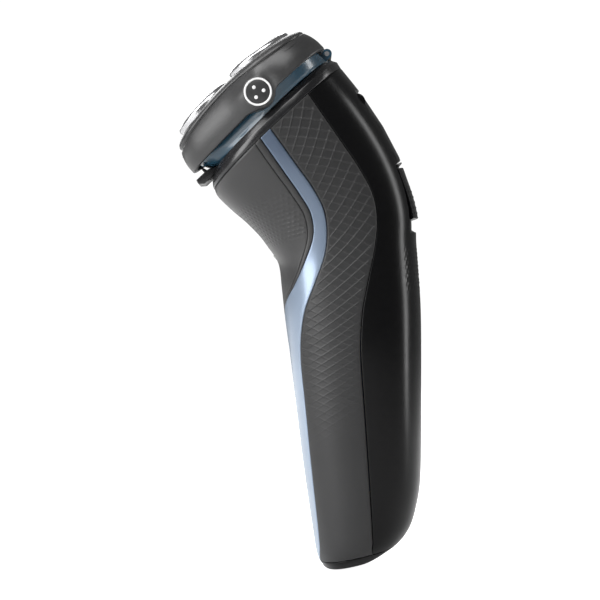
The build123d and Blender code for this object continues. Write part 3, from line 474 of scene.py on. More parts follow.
def steel(name, colour, roughness):
    """Brushed or polished steel, with fine streaks along the part."""
    material = bpy.data.materials.new(name)
    material.use_nodes = True
    tree = material.node_tree
    shader = tree.nodes["Principled BSDF"]
    shader.inputs["Metallic"].default_value = 1.0
    place = tree.nodes.new("ShaderNodeTexCoord")
    stretch = tree.nodes.new("ShaderNodeMapping")
    stretch.inputs["Scale"].default_value = (1.0, 1.0, 0.15)
    tree.links.new(place.outputs["Object"], stretch.inputs["Vector"])
    noise = tree.nodes.new("ShaderNodeTexNoise")
    noise.inputs["Scale"].default_value = 2080.0
    noise.inputs["Detail"].default_value = 5.0
    tree.links.new(stretch.outputs["Vector"], noise.inputs["Vector"])
    tone = mix_node(tree, noise.outputs["Fac"], [c * 0.86 for c in colour], colour)
    tree.links.new(tone, shader.inputs["Base Color"])
    spread = math_node(tree, "MULTIPLY", noise.outputs["Fac"], 0.12)
    rough = math_node(tree, "ADD", roughness - 0.05, spread, True)
    tree.links.new(rough, shader.inputs["Roughness"])
    relief = tree.nodes.new("ShaderNodeBump")
    relief.inputs["Strength"].default_value = 0.2
    relief.inputs["Distance"].default_value = 0.00004
    tree.links.new(noise.outputs["Fac"], relief.inputs["Height"])
    tree.links.new(relief.outputs["Normal"], shader.inputs["Normal"])
    return material


FINISH = {}


def make_finishes():
    """Makes the shared groups and every finish."""
    settings = bpy.context.scene.shaver_finish
    GROUPS["MouldGrain"] = grain_group()
    GROUPS["EdgeWear"] = wear_group()
    GROUPS["DiamondLattice"] = lattice_group()
    pitch = (1.0, 1.0, 0.00012)
    # The grip lattice also paints highlights onto its raised lines and crossing beads.
    FINISH["grip"] = plastic("GripMatt", settings.grip_colour, 0.5, lattice=pitch, bump=0.9, wear=0.3,
                             gloss=0.4)
    FINISH["cover"] = plastic("CoverGloss", settings.cover_colour, 0.22, bump=0.015, wear=0.1, grain=500.0,
                              gloss=0.18)
    FINISH["panel"] = plastic("PanelSatin", settings.panel_colour, 0.36, bump=0.25)
    FINISH["head"] = plastic("HeadSatin", settings.head_colour, 0.37, bump=0.3, grain=1100.0, wear=0.35)
    # Trim colour carries painted shade: darker towards the top, lighter lower down where highlights fall.
    FINISH["trim"] = plastic("TrimBlue", settings.trim_colour, 0.3, grain=2600.0, metallic=0.45, bump=0.2,
                             variation=0.06, coat=0.2, wear=0.2,
                             painted_shade_ramp=(0.055, 0.125, (1.0, 1.0, 1.0), (0.3, 0.33, 0.38)))
    FINISH["collar"] = plastic("CollarGloss", (0.01, 0.01, 0.011), 0.26, bump=0.02, wear=0.15, gloss=0.5)
    FINISH["chamber"] = plastic("ChamberTint", settings.chamber_colour, 0.24, bump=0.02, coat=0.2,
                                wear=0.05)
    FINISH["black"] = plastic("BlackPlastic", (0.012, 0.012, 0.012), 0.4, bump=0.2)
    FINISH["grey"] = plastic("FramePlastic", (0.05, 0.05, 0.052), 0.45, bump=0.25)
    FINISH["acetal"] = plastic("GearPlastic", (0.62, 0.62, 0.58), 0.4, bump=0.15)
    FINISH["rubber"] = plastic("SealRubber", (0.02, 0.02, 0.02), 0.7, bump=0.4)
    FINISH["board"] = plastic("BoardMask", (0.02, 0.12, 0.05), 0.3, bump=0.2)
    FINISH["wrap"] = plastic("CellSleeve", (0.05, 0.12, 0.3), 0.25, bump=0.05)
    FINISH["white"] = plastic("WhitePrint", (0.72, 0.72, 0.72), 0.35, bump=0.05, variation=0.03)
    FINISH["lamp"] = plastic("LampLens", (0.5, 0.52, 0.5), 0.25, bump=0.02, transmission=0.3)
    FINISH["steel"] = steel("CapSteel", (0.62, 0.62, 0.63), 0.22)
    FINISH["shaft"] = steel("ShaftSteel", (0.55, 0.55, 0.56), 0.32)
    FINISH["brass"] = steel("ContactBrass", (0.75, 0.56, 0.28), 0.3)
    FINISH["magnet"] = plastic("MagnetBlack", (0.03, 0.03, 0.032), 0.5, metallic=0.4, bump=0.3)


# ---- handle pieces ---------------------------------------------------------------------------
def curve_of(angles, gap=0.0):
    """Angle as a function of station, moved by a gap in millimetres."""
    def at(t):
        t = np.asarray(t, float)
        return blend_rows(angles, t) + gap / section(t)[..., 4]
    return at


def minus(curve):
    """The same curve on the other side of the handle."""
    return lambda t: -curve(t)


def lattice_place(t, angle):
    """Lattice coordinates of points on the side: rows counted along the handle, columns across it."""
    settings = bpy.context.scene.shaver_finish
    fine = np.linspace(0, TOP, 600)
    run = run_along(fine, np.full_like(fine, math.pi / 2))
    upper = np.clip((run - 70) / 30, 0, 1)
    pitch = (settings.lattice_low + (settings.lattice_length - settings.lattice_low) * upper) / MM
    rows = np.concatenate([[0], np.cumsum(np.diff(run) / pitch[1:])])
    along = np.interp(t, fine, rows)
    row = section(t)
    half = np.hypot(row[..., 0] - row[..., 2], row[..., 1] - row[..., 3]) / 2
    across = np.sign(np.cos(angle)) * np.abs(np.cos(angle)) ** (2 / ROUNDNESS) * half
    return along, across / (settings.lattice_width / MM)


def diamond_relief(along, from_left, from_right, t, angle):
    """Raised lattice lines that fade out towards the foot and stop short of the seams."""
    rows, columns = lattice_place(t, np.abs(angle))
    height = np.zeros_like(along)
    for sign in (1, -1):
        phase = (rows + sign * columns) % 1.0
        near = np.minimum(phase, 1 - phase)
        height = height + np.clip(1 - near / 0.11, 0, 1) ** 0.7
    margin = np.clip((np.minimum(from_left, from_right) - 1.1) / 0.35, 0, 1)
    fade = np.clip((along - 34) / 30, 0, 1)
    return 0.11 * np.minimum(height, 1.6) * margin * fade


def build_grips():
    """Both side grips, with their lattice."""
    settings = bpy.context.scene.shaver_finish
    for side, name in ((1, "right"), (-1, "left")):
        inner, outer = curve_of(REAR_ANGLES, SEAM / 2), curve_of(COVER_ANGLES, -SEAM / 2)
        left, right = (inner, outer) if side > 0 else (minus(outer), minus(inner))
        piece = panel_mesh(f"{name}_grip_shell", 1.0, TOP, left, right, settings.lattice_rows,
                           settings.lattice_columns, relief=diamond_relief, lines=(0.8, 1.1, 1.3))
        rides(piece, "handle", f"{name}_grip", finish=FINISH["grip"], slot="grip_rubber")


def build_trim():
    """Blade up the front and the two arms it forks into."""
    rear = curve_of(REAR_ANGLES, -SEAM / 2)
    front = curve_of(FRONT_ANGLES)
    lower = panel_mesh("front_trim_blade", 1.0, FORK + 0.02, minus(rear), rear, 90, 31,
                       ends=(True, False))
    rides(lower, "handle", "front_trim", finish=FINISH["trim"], slot="trim_blue")
    for side, name in ((1, "right"), (-1, "left")):
        left, right = (front, rear) if side > 0 else (minus(rear), minus(front))
        arm = panel_mesh(f"{name}_trim_arm", FORK, TOP, left, right, 90, 9, ends=(False, True))
        rides(arm, "handle", finish=FINISH["trim"], slot="trim_blue")


def build_foot():
    """Foot cap: rounded down from the panels to a flat face, then in to the socket."""
    columns, loops = 96, []
    angles = np.linspace(0, 2 * math.pi, columns, endpoint=False)
    for t, inset in ((1.0, 1.4), (0.97, 0.15), (0.9, 0.0), (0.6, 0.0), (0.3, -0.25), (0.12, -0.1),
                     (0.03, 0.1), (0.0, 0.6)):
        loops.append(body_point(np.full(columns, t), angles, np.full(columns, inset)))
    rim = loops[-1]
    down = Vector(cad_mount("foot_face")["axis"])
    back = RIGHT.cross(down).normalized()
    if back.y < 0:
        back = -back
    centre = Vector(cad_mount("power_socket")["pos_m"])
    slot = []
    for angle in angles:
        direction = (math.sin(angle), -math.cos(angle))
        x = max(-1.6, min(1.6, direction[0] * 4.0)) + direction[0] * 2.4
        y = direction[1] * 2.4
        slot.append(centre + (RIGHT * x + back * y) * MM)
    slot = np.array([tuple(v) for v in slot])
    flat = lambda share: rim * (1 - share) + slot * share
    loops += [flat(0.1), flat(0.5), flat(0.9), flat(1.0)]
    loops += [slot - np.array(tuple(down)) * 0.25 * MM + (slot - slot.mean(axis=0)) * -0.04,
              slot - np.array(tuple(down)) * 1.6 * MM + (slot - slot.mean(axis=0)) * -0.04]
    vertices = np.concatenate(loops)
    piece = new_object("foot_cap", vertices, grid_faces(len(loops), columns, closed=True))
    rides(piece, "handle", "bottom_cap", finish=FINISH["cover"], slot="cover_gloss")


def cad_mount(name):
    """A mount of the frame's record, by name."""
    return next(mount for mount in frame["record"]["mounts"] if mount["name"] == name)


# ---- stage -----------------------------------------------------------------------------------
def area_light(name, place, target, size, power):
    """A rectangular softbox that looks at a target."""
    data = bpy.data.lights.new(name, "AREA")
    data.shape = "RECTANGLE"
    data.size, data.size_y = size
    data.energy = power
    lamp = bpy.data.objects.new(name, data)
    lamp.location = place
    lamp.rotation_euler = (Vector(target) - Vector(place)).to_track_quat("-Z", "Y").to_euler()
    bpy.context.scene.collection.objects.link(lamp)


def build_stage():
    """Pale floor, even sky, four softboxes and the camera."""
    settings = bpy.context.scene.shaver_finish
    floor_z = float(np.array(CAD_BOX).reshape(2, 3)[0][2])
    half = 3.0
    floor = new_object("pale_floor", [(-half, -half, floor_z), (half, -half, floor_z), (half, half, floor_z),
                                      (-half, half, floor_z)], [(0, 1, 2, 3)], smooth=False)
    paint = bpy.data.materials.new("PaleFloor")
    paint.use_nodes = True
    cover = paint.node_tree.nodes["Principled BSDF"]
    cover.inputs["Base Color"].default_value = (0.9, 0.9, 0.9, 1)
    cover.inputs["Roughness"].default_value = 0.9
    cover.inputs["Specular IOR Level"].default_value = 0.0
    cover.inputs["Emission Color"].default_value = (1, 1, 1, 1)
    seen = paint.node_tree.nodes.new("ShaderNodeLightPath")
    lift = math_node(paint.node_tree, "MULTIPLY", seen.outputs["Is Camera Ray"], settings.floor_lift)
    paint.node_tree.links.new(lift, cover.inputs["Emission Strength"])
    floor.data.materials.append(paint)
    world = bpy.data.worlds.new("Studio")
    world.use_nodes = True
    world.node_tree.nodes["Background"].inputs["Color"].default_value = (1, 1, 1, 1)
    path = world.node_tree.nodes.new("ShaderNodeLightPath")
    extra = math_node(world.node_tree, "MULTIPLY", path.outputs["Is Camera Ray"], 1.05)
    level = math_node(world.node_tree, "MAXIMUM", extra, settings.world_light)
    world.node_tree.links.new(level, world.node_tree.nodes["Background"].inputs["Strength"])
    bpy.context.scene.world = world
    centre = (0.0, settings.view_y, settings.view_z)
    area_light("FrontSoftbox", (0.35, -0.8, 0.35), centre, (0.5, 0.8), 9.0)
    area_light("TopSoftbox", (0.5, -0.2, 0.8), centre, (0.7, 0.5), 6.0)
    area_light("RimSoftbox", (-0.1, 0.7, 0.25), centre, (0.12, 0.8), 2.5)
    area_light("FarSoftbox", (-0.8, -0.3, 0.5), centre, (0.6, 0.6), 5.0)
    camera_data = bpy.data.cameras.new("Camera")
    camera_data.lens = settings.lens
    camera_data.sensor_width = 36.0
    camera_data.clip_end = 20.0
    camera = bpy.data.objects.new("Camera", camera_data)
    camera.location = (settings.distance, settings.view_y, settings.view_z)
    camera.rotation_euler = (math.pi / 2, 0, math.pi / 2)
    bpy.context.scene.collection.objects.link(camera)
    bpy.context.scene.camera = camera
    bpy.context.scene.view_settings.view_transform = "Standard"


# ---- more handle pieces ----------------------------------------------------------------------
def head_point(x, u, a):
    """A place in head coordinates."""
    return (HEAD_PIVOT + RIGHT * x + HEAD_U * u + HEAD_A * a) * MM


def turns(count):
    """Angles of a full turn in equal steps."""
    return np.linspace(0, 2 * math.pi, count, endpoint=False)


def stacked(loops):
    """The points of all the loops in one array."""
    return np.concatenate([np.array([tuple(p) for p in loop]) for loop in loops])


def ring_piece(name, loops):
    """A ring whose section closes on its first loop."""
    loops = loops + [loops[0]]
    piece = new_object(name, stacked(loops), grid_faces(len(loops), len(loops[0]), closed=True))
    fix_normals(piece)
    return piece


def loop_piece(name, loops, smooth=True):
    """A solid skinned over loops that all have the same number of points."""
    columns = len(loops[0])
    faces = grid_faces(len(loops), columns, closed=True)
    faces.append(tuple(range(columns))[::-1])
    faces.append(tuple((len(loops) - 1) * columns + c for c in range(columns)))
    piece = new_object(name, stacked(loops), faces, smooth=smooth)
    fix_normals(piece)
    return piece


def fix_normals(piece):
    """Joins doubled points and turns every face outwards."""
    made = bmesh.new()
    made.from_mesh(piece.data)
    bmesh.ops.remove_doubles(made, verts=made.verts, dist=1e-8)
    bmesh.ops.recalc_face_normals(made, faces=made.faces)
    made.to_mesh(piece.data)
    made.free()


def bevelled(piece, width, segments=2, angle=35.0):
    """Rounds the sharp edges of a piece and applies the result."""
    bevel = piece.modifiers.new("EdgeRound", "BEVEL")
    bevel.width = width * MM
    bevel.segments = segments
    bevel.limit_method = "ANGLE"
    bevel.angle_limit = math.radians(angle)
    bevel.harden_normals = False
    apply_modifiers(piece)
    smooth_by_angle(piece, 40.0)


def apply_modifiers(piece):
    """Replaces a piece's mesh with what its modifiers make of it."""
    graph = bpy.context.evaluated_depsgraph_get()
    graph.update()
    mesh = bpy.data.meshes.new_from_object(piece.evaluated_get(graph))
    piece.modifiers.clear()
    old = piece.data
    piece.data = mesh
    bpy.data.meshes.remove(old)


def smooth_by_angle(piece, limit):
    """Shades a piece smooth, with edges sharper than the limit kept."""
    mesh = piece.data
    mesh.shade_smooth()
    made = bmesh.new()
    made.from_mesh(mesh)
    for edge in made.edges:
        edge.smooth = not (len(edge.link_faces) == 2 and edge.calc_face_angle(0) > math.radians(limit))
    made.to_mesh(mesh)
    made.free()


def from_node(name, node, width):
    """A rounded-edge version of a frame node: planar facets merged, then bevelled."""
    piece = bpy.data.objects.new(name, bpy.data.objects[node].data.copy())
    bpy.context.scene.collection.objects.link(piece)
    made = bmesh.new()
    made.from_mesh(piece.data)
    bmesh.ops.remove_doubles(made, verts=made.verts, dist=2e-6)
    bmesh.ops.dissolve_limit(made, angle_limit=math.radians(2), verts=made.verts, edges=made.edges)
    made.to_mesh(piece.data)
    made.free()
    bevelled(piece, width)
    return piece


def dot_relief(z_low, z_high):
    """Small raised dots in staggered rows between two heights on the front."""
    def relief(along, from_left, from_right, t, angle):
        row = np.round(along / 1.3)
        shift = (row % 2) * 0.8
        centre = (from_left - from_right) / 2
        cell = (centre + shift) / 1.6
        near_x = (cell - np.round(cell)) * 1.6
        near_y = along - row * 1.3
        bump = np.clip(1 - (near_x ** 2 + near_y ** 2) / 0.16, 0, 1)
        rows = section(t)
        window = np.clip((rows[..., 1] - z_low) / 2, 0, 1) * np.clip((z_high - rows[..., 1]) / 2, 0, 1)
        margin = np.clip((np.minimum(from_left, from_right) - 1.6) / 0.5, 0, 1)
        return 0.12 * bump * window * margin
    return relief


def panel_relief(along, from_left, from_right, t, angle):
    """Dots round the button on the front panel, and a fine step that runs beside the trim."""
    dots = dot_relief(96.0, 108.5)(along, from_left, from_right, t, angle)
    edge = np.minimum(from_left, from_right)
    groove = np.clip(1 - np.abs(edge - 1.5) / 0.16, 0, 1)
    return dots * 1.2 - 0.22 * groove


def cut_with(piece, cutter):
    """Cuts a piece with another and throws the cutter away."""
    cut = piece.modifiers.new("Cut", "BOOLEAN")
    cut.operation = "DIFFERENCE"
    cut.solver = "EXACT"
    cut.object = cutter
    apply_modifiers(piece)
    bpy.data.objects.remove(cutter, do_unlink=True)


def slot_outline(length, width, count=32):
    """A stadium outline with its long side along the second coordinate."""
    half = (length - width) / 2
    points = []
    for index in range(count):
        turn = 2 * math.pi * index / count
        offset = half if math.sin(turn) > 1e-9 else (-half if math.sin(turn) < -1e-9 else 0)
        points.append((width / 2 * math.cos(turn), width / 2 * math.sin(turn) + offset))
    return points


BUTTON_PLACE = Vector((0, -31.6, 103.0))
BUTTON_IN = Vector((0, 0.72, 0.694)).normalized()
BUTTON_UP = RIGHT.cross(BUTTON_IN).normalized()
LAMP_UP = -11.5


def button_point(x, up, out):
    """A place beside, above and out of the button's middle."""
    return (BUTTON_PLACE + RIGHT * x + BUTTON_UP * up - BUTTON_IN * out) * MM


def lamp_loop(radius, level):
    """A circle round the charge lamp's middle."""
    return [button_point(radius * math.cos(a), LAMP_UP + radius * math.sin(a), level) for a in turns(24)]


def make_button_surface():
    """Samples the front surface round the button into a quadratic fit."""
    t = np.linspace(10.5, 14.0, 30)[:, None] + np.zeros((1, 21))
    angle = np.linspace(-0.35, 0.35, 21)[None, :] + np.zeros((30, 1))
    points = body_point(t, angle, np.zeros_like(t)).reshape(-1, 3) / MM
    offset = points - np.array(tuple(BUTTON_PLACE))
    x = offset[:, 0]
    up = offset @ np.array(tuple(BUTTON_UP))
    out = -offset @ np.array(tuple(BUTTON_IN))
    keep = (np.abs(up) < 10) & (np.abs(x) < 8)
    x, up, out = x[keep], up[keep], out[keep]
    terms = np.stack([np.ones_like(x), x ** 2, up, up ** 2, x ** 4, up ** 3, x ** 2 * up], axis=1)
    fit = np.linalg.lstsq(terms, out, rcond=None)[0]
    return lambda px, pu: float(np.dot(fit, [1, px ** 2, pu, pu ** 2, px ** 4, pu ** 3, px ** 2 * pu]))


BUTTON_SURFACE = make_button_surface()


def build_front_panel():
    """Shield panel, with its openings for the button and the lamp."""
    front = curve_of(FRONT_ANGLES, -SEAM)
    panel = panel_mesh("front_panel_shield", FORK + 0.05, TOP, minus(front), front, 300, 161,
                       relief=panel_relief, lines=(1.3, 1.36, 1.42, 1.5, 1.58, 1.64))
    outline = slot_outline(15.6, 11.1, 48)
    loops = [[button_point(x, up, level) for x, up in outline] for level in (-6.0, 6.0)]
    cut_with(panel, loop_piece("button_hole", loops))
    cut_with(panel, loop_piece("lamp_hole", [lamp_loop(1.25, level) for level in (-6.0, 6.0)]))
    smooth_by_angle(panel, 50.0)
    rides(panel, "handle", "front_panel", finish=FINISH["panel"], slot="panel_satin")


def build_button():
    """On/off button: follows the front surface, with a rounded rim and a shallow dish."""
    rings = [(0.0, -3.6), (0.0, -0.35), (-0.08, -0.14), (-0.25, -0.02), (-0.5, 0.0), (-1.2, 0.0),
             (-1.8, -0.12), (-2.6, -0.2), (-3.6, -0.24), (-4.6, -0.25)]
    loops = []
    for grow, level in rings:
        loop = []
        for x, up in slot_outline(15.0 + 2 * grow, 10.5 + 2 * grow, 64):
            loop.append(button_point(x, up, BUTTON_SURFACE(x, up) + level if level > -3 else level))
        loops.append(loop)
    button = loop_piece("on_off_button_cap", loops)
    rides(button, "button", "on_off_button", finish=FINISH["panel"], slot="panel_satin")


def build_lamp():
    """Domed lens of the charge lamp."""
    surface = BUTTON_SURFACE(0, LAMP_UP)
    loops = [lamp_loop(1.15, -3.0)]
    for radius, level in ((1.15, -0.1), (0.95, 0.02), (0.5, 0.08), (0.05, 0.1)):
        loops.append(lamp_loop(radius, surface + level))
    rides(loop_piece("charge_lamp_lens", loops), "handle", "charge_lamp", finish=FINISH["lamp"],
          slot="lamp_clear")


def back_plane(low_station, high_station, drop, inset):
    """A place on the back of the handle and the directions down it and out of it."""
    def back(station):
        row = STATIONS[station]
        return Vector((0, row[2], row[3]))
    high, low = back(high_station), back(low_station)
    down = (low - high).normalized()
    out = Vector((0, -down.z, down.y))
    return high + down * drop - out * inset, down, out


def build_cover():
    """Back cover, cut away for the trimmer, with the trimmer's arm and slide."""
    seam = curve_of(COVER_ANGLES, SEAM / 2)
    cover = panel_mesh("back_cover_shell", 1.0, TOP, seam, lambda t: 2 * math.pi - seam(t), 300, 161,
                       relief=cover_relief)
    pin, down, out = back_plane(TOP - 3, TOP - 1, 1.2, 3.2)
    cut_with(cover, block_piece("trimmer_bay", pin, down, out, (-11.4, 11.4), (-3.2, 22.6), (-6.0, 8.0)))
    smooth_by_angle(cover, 40.0)
    rides(cover, "handle", "back_cover", finish=FINISH["cover"], slot="cover_gloss")
    arm = from_node("trimmer_arm_lid", "trimmer_arm", 0.2)
    rides(arm, "trimmer", "trimmer_arm", finish=FINISH["cover"], slot="cover_gloss")
    half = math.radians(25.6)
    slide = panel_mesh("trimmer_slide_grip", 10.83, 12.66, lambda t: math.pi - half + 0 * t,
                       lambda t: math.pi + half + 0 * t, 110, 60, relief=slide_relief, wall=1.3, edge=0.25)
    rides(slide, "trimmer_slide", "trimmer_slide", finish=FINISH["cover"], slot="panel_satin")


def slide_relief(along, from_left, from_right, t, angle):
    """Slide that swells towards its lower end, with finger ribs across it."""
    swell = 0.85 * np.clip(1 - along / 13.0, 0, 1) ** 1.3
    ribs = 0.16 * np.clip(np.cos(2 * math.pi * along / 1.7), 0, 1) ** 2
    inner = np.clip((np.minimum(from_left, from_right) - 1.6) / 0.6, 0, 1)
    return swell - 0.15 + ribs * inner * np.clip((11.0 - along) / 2, 0, 1)


def cover_relief(along, from_left, from_right, t, angle):
    """Dotted finger rest on the back and the shallow pocket that the trimmer slide runs in."""
    dots = dot_relief(78.0, 92.0)(along, from_left, from_right, t, angle)
    z = section(t)[..., 3]
    centred = np.abs(from_left - from_right) / 2
    pocket = (np.clip((z - 101.9) / 0.4, 0, 1) * np.clip((123.0 - z) / 0.6, 0, 1)
              * np.clip((10.2 - centred) / 0.5, 0, 1))
    return np.where(z < 101, dots * 1.2 * np.clip((16 - centred) / 2, 0, 1), -1.4 * pocket)


def block_piece(name, origin, ay, az, xs, ys, zs):
    """A block between limits to the right and along two other directions, in millimetres."""
    corners = [(x, y, z) for z in zs for y in ys for x in xs]
    vertices = [(origin + RIGHT * x + ay * y + az * z) * MM for x, y, z in corners]
    faces = [(0, 1, 3, 2), (4, 6, 7, 5), (0, 4, 5, 1), (2, 3, 7, 6), (0, 2, 6, 4), (1, 5, 7, 3)]
    piece = new_object(name, vertices, faces, smooth=False)
    fix_normals(piece)
    return piece


# ---- collar, chamber and head ------------------------------------------------------------------
def build_collar():
    """Collar ring: two glossy facets with a soft break, open in the middle for the chamber."""
    row = STATIONS[TOP]
    front, back = Vector((0, row[0], row[1])), Vector((0, row[2], row[3]))
    middle = (front + back) / 2
    half = (front - back).length / 2
    ahead = (front - middle).normalized()
    up = RIGHT.cross(ahead)
    up = up if up.z > 0 else -up
    power = 2 / ROUNDNESS

    def ring(height, set_in, side_in, lean):
        points = []
        for angle in turns(128):
            along = math.copysign(abs(math.cos(angle)) ** power, math.cos(angle)) * (half - set_in)
            across = math.copysign(abs(math.sin(angle)) ** power, math.sin(angle)) * (row[4] - side_in)
            points.append((middle + ahead * (along - lean) + RIGHT * across + up * height) * MM)
        return points
    profile = [(0.1, 0.35, 0.35, 0.0), (0.12, 0.08, 0.08, 0.0), (0.35, 0.0, 0.0, 0.0), (1.2, 0.15, 0.1, 0.3),
               (2.1, 0.4, 0.3, 0.75), (2.3, 0.5, 0.38, 0.9), (2.5, 0.72, 0.5, 1.0), (3.3, 1.6, 1.0, 1.4),
               (3.95, 2.25, 1.42, 1.78), (4.12, 2.5, 1.6, 1.86), (4.18, 2.9, 2.0, 1.9), (4.1, 3.6, 2.9, 1.9),
               (3.6, 4.0, 3.3, 1.7), (0.1, 3.6, 3.0, 0.0)]
    piece = ring_piece("collar_band", [ring(*entry) for entry in profile])
    rides(piece, "handle", "collar_ring", finish=FINISH["collar"], slot="collar_gloss")


def head_centres():
    """Middles of the three caps, as x and u."""
    return [(CAP_CIRCLE * math.cos(turn), CAP_CENTRE_U + CAP_CIRCLE * math.sin(turn))
            for turn in map(math.radians, (-90, 30, 150))]


def triangle_outline(radius, count):
    """Rounded triangle round the three caps, with sides that bow out a little."""
    centres = [np.array(c) for c in head_centres()]
    points = []
    for index in range(count):
        turn = 2 * math.pi * index / count
        way = np.array([math.cos(turn), math.sin(turn)])
        weights = np.array([np.dot(c - np.array([0, CAP_CENTRE_U]), way) for c in centres])
        sharp = np.exp((weights - weights.max()) / 1.3)
        sharp /= sharp.sum()
        corner = sum(w * c for w, c in zip(sharp, centres))
        points.append(corner + way * radius)
    return np.array(points)


def interpolate(pairs, place):
    """Value at a place between the pairs of a table."""
    places, values = zip(*pairs)
    return float(np.interp(place, places, values))


def smooth_profile(level):
    """Radius of the head at a level, from its profile, smoothed."""
    return sum(interpolate(PROFILE, level + shift) for shift in (-0.9, -0.45, 0, 0.45, 0.9)) / 5


def seam_level(u):
    """Level of the seam between shell and cap plate, smoothed."""
    return sum(interpolate(SEAM_LINE, u + shift) for shift in (-3, -1.5, 0, 1.5, 3)) / 5


def dome_level(u):
    """Level of the cap plate's dome at a place along the head."""
    return DOME_HEIGHT - (u - DOME_CENTRE_U) ** 2 / (2 * DOME_RADIUS)


def lobe_drop(distance, lobe, fillet=2.4, edge=2.6):
    """How far the shell's lower edge lies under the rocking axis at a distance along the head."""
    fall = lobe + fillet
    bottom = edge + fillet
    middle = math.sqrt(max(fall ** 2 - bottom ** 2, 0)) if fall > bottom else 0.0
    touch = middle * lobe / fall
    if distance <= touch:
        return math.sqrt(max(lobe ** 2 - distance ** 2, 0))
    if distance < middle:
        return max(edge, bottom - math.sqrt(max(fillet ** 2 - (middle - distance) ** 2, 0)))
    return edge


def build_shell():
    """Head shell: rounded triangle with a round boss on each side that runs into the lower edge."""
    count = 192
    lobe = 5.2
    edge, girth = PROFILE[0]

    def shell_loop(fraction, inset=0.0):
        """fraction 0 is the lower edge, 1 the seam with the cap plate."""
        final = []
        for index, (x, u) in enumerate(triangle_outline(girth - inset, count)):
            low = -lobe_drop(abs(u), lobe) if abs(x) > 12 else edge
            high = seam_level(u) - 0.1
            level = low + (high - low) * fraction
            radius = smooth_profile(max(level, edge)) - inset
            turn = 2 * math.pi * index / count
            scale_x = x - math.cos(turn) * (girth - inset) + math.cos(turn) * radius
            scale_u = u - math.sin(turn) * (girth - inset) + math.sin(turn) * radius
            if abs(scale_x) > 15 and inset < 0.5:
                away = math.hypot(scale_u, level) / lobe
                bulge = 1 / (1 + math.exp((away - 1.0) * 7))
                wanted = 28.2 - 0.5 * min(away, 1) ** 4
                scale_x = math.copysign(abs(scale_x) + (wanted - abs(scale_x)) * bulge, scale_x)
            final.append(head_point(scale_x, scale_u, level))
        return final
    outer = [shell_loop(f, i) for f, i in ((0.0, 0.5), (0.006, 0.22), (0.02, 0.05), (0.045, 0.0))]
    outer += [shell_loop(f) for f in np.linspace(0.08, 0.93, 34)]
    outer += [shell_loop(f, i) for f, i in ((0.965, 0.0), (0.985, 0.06), (1.0, 0.3))]
    inner = [shell_loop(f, 1.6) for f in (1.0, 0.75, 0.5, 0.25, 0.0)]
    piece = ring_piece("head_shell_cover", outer + inner)
    cut_with(piece, block_piece("hinge_notch", HEAD_PIVOT, HEAD_U, HEAD_A, (-8.2, 8.2), (21.5, 28.0),
                                (-5.5, 2.7)))
    smooth_by_angle(piece, 50.0)
    rides(piece, "head", "head_shell", finish=FINISH["head"], slot="head_satin")


def build_plate():
    """Cap plate: domed top with a rolled rim and three round openings."""
    count = 192
    loops = []
    for step, (share, drop) in enumerate([(0.0, 2.2), (0.0, 0.12), (0.05, 0.0)]):
        loops.append(plate_loop(count, share, drop))
    for share in (0.12, 0.25, 0.4, 0.55, 0.7, 0.82, 0.91, 0.97, 1.0):
        loops.append(plate_loop(count, share, 0.0))
    rim = triangle_outline(PLATE_RADIUS, count)

    def shrunk(scale):
        return [(x * scale, CAP_CENTRE_U + (u - CAP_CENTRE_U) * scale) for x, u in rim]
    for scale in (0.9, 0.6, 0.3, 0.02):
        loops.append([head_point(x, u, dome_level(u)) for x, u in shrunk(scale)])
    bottom = [[head_point(x, u, 3.4) for x, u in shrunk(scale)] for scale in (0.02, 0.6, 1.3)]
    plate = loop_piece("cap_plate_dome", bottom + loops)
    for index in range(3):
        cut_with(plate, cap_rod(f"opening_{index}", index, 11.25, -9.0, 9.0))
        cut_with(plate, cap_rod(f"counterbore_{index}", index, 12.25, -12.0, -1.3))
    bevelled(plate, 0.3, 3, 50.0)
    rides(plate, "head", "cap_plate", finish=FINISH["head"], slot="head_satin")


def plate_loop(count, share, drop):
    """Loop between the seam (share 0) and the dome's edge (share 1)."""
    start = triangle_outline(1.0, count)
    points = []
    for index in range(count):
        turn = 2 * math.pi * index / count
        way = (math.cos(turn), math.sin(turn))
        base = start[index] - np.array(way)
        low = seam_level(base[1] + way[1] * 13) + 0.1
        top = dome_level(base[1] + way[1] * PLATE_RADIUS)
        # quarter-round from the wall to the dome
        wall = smooth_profile(low)
        turn_in = share * math.pi / 2
        radius = PLATE_RADIUS + (wall - PLATE_RADIUS) * math.cos(turn_in) ** 1.15
        level = low + (top - low) * math.sin(turn_in) - drop
        if drop > 1:
            radius = wall - 0.9
        elif drop:
            radius = wall - 0.15
        points.append(head_point(base[0] + way[0] * radius, base[1] + way[1] * radius, level))
    return points


def cap_frame(index):
    """Origin and axes of a cap: its own tilted plane on the head's dome."""
    joint = JOINTS[f"cap_{index + 1}_float"]
    axis = Vector(joint["axis"]).normalized()
    if axis.dot(HEAD_A) < 0:
        axis = -axis
    x, u = head_centres()[index]
    origin = head_point(x, u, dome_level(u)) / MM
    side = axis.cross(Vector((0.01, 1, 0.02))).normalized()
    return origin, side, axis.cross(side).normalized(), axis


def cap_rod(name, index, radius, low, high):
    """A round rod on a cap's own axis, to cut with."""
    origin, side, across, axis = cap_frame(index)
    loops = [[(origin + side * radius * math.cos(a) + across * radius * math.sin(a) + axis * level) * MM
              for a in turns(96)] for level in (low, high)]
    return loop_piece(name, loops, smooth=False)


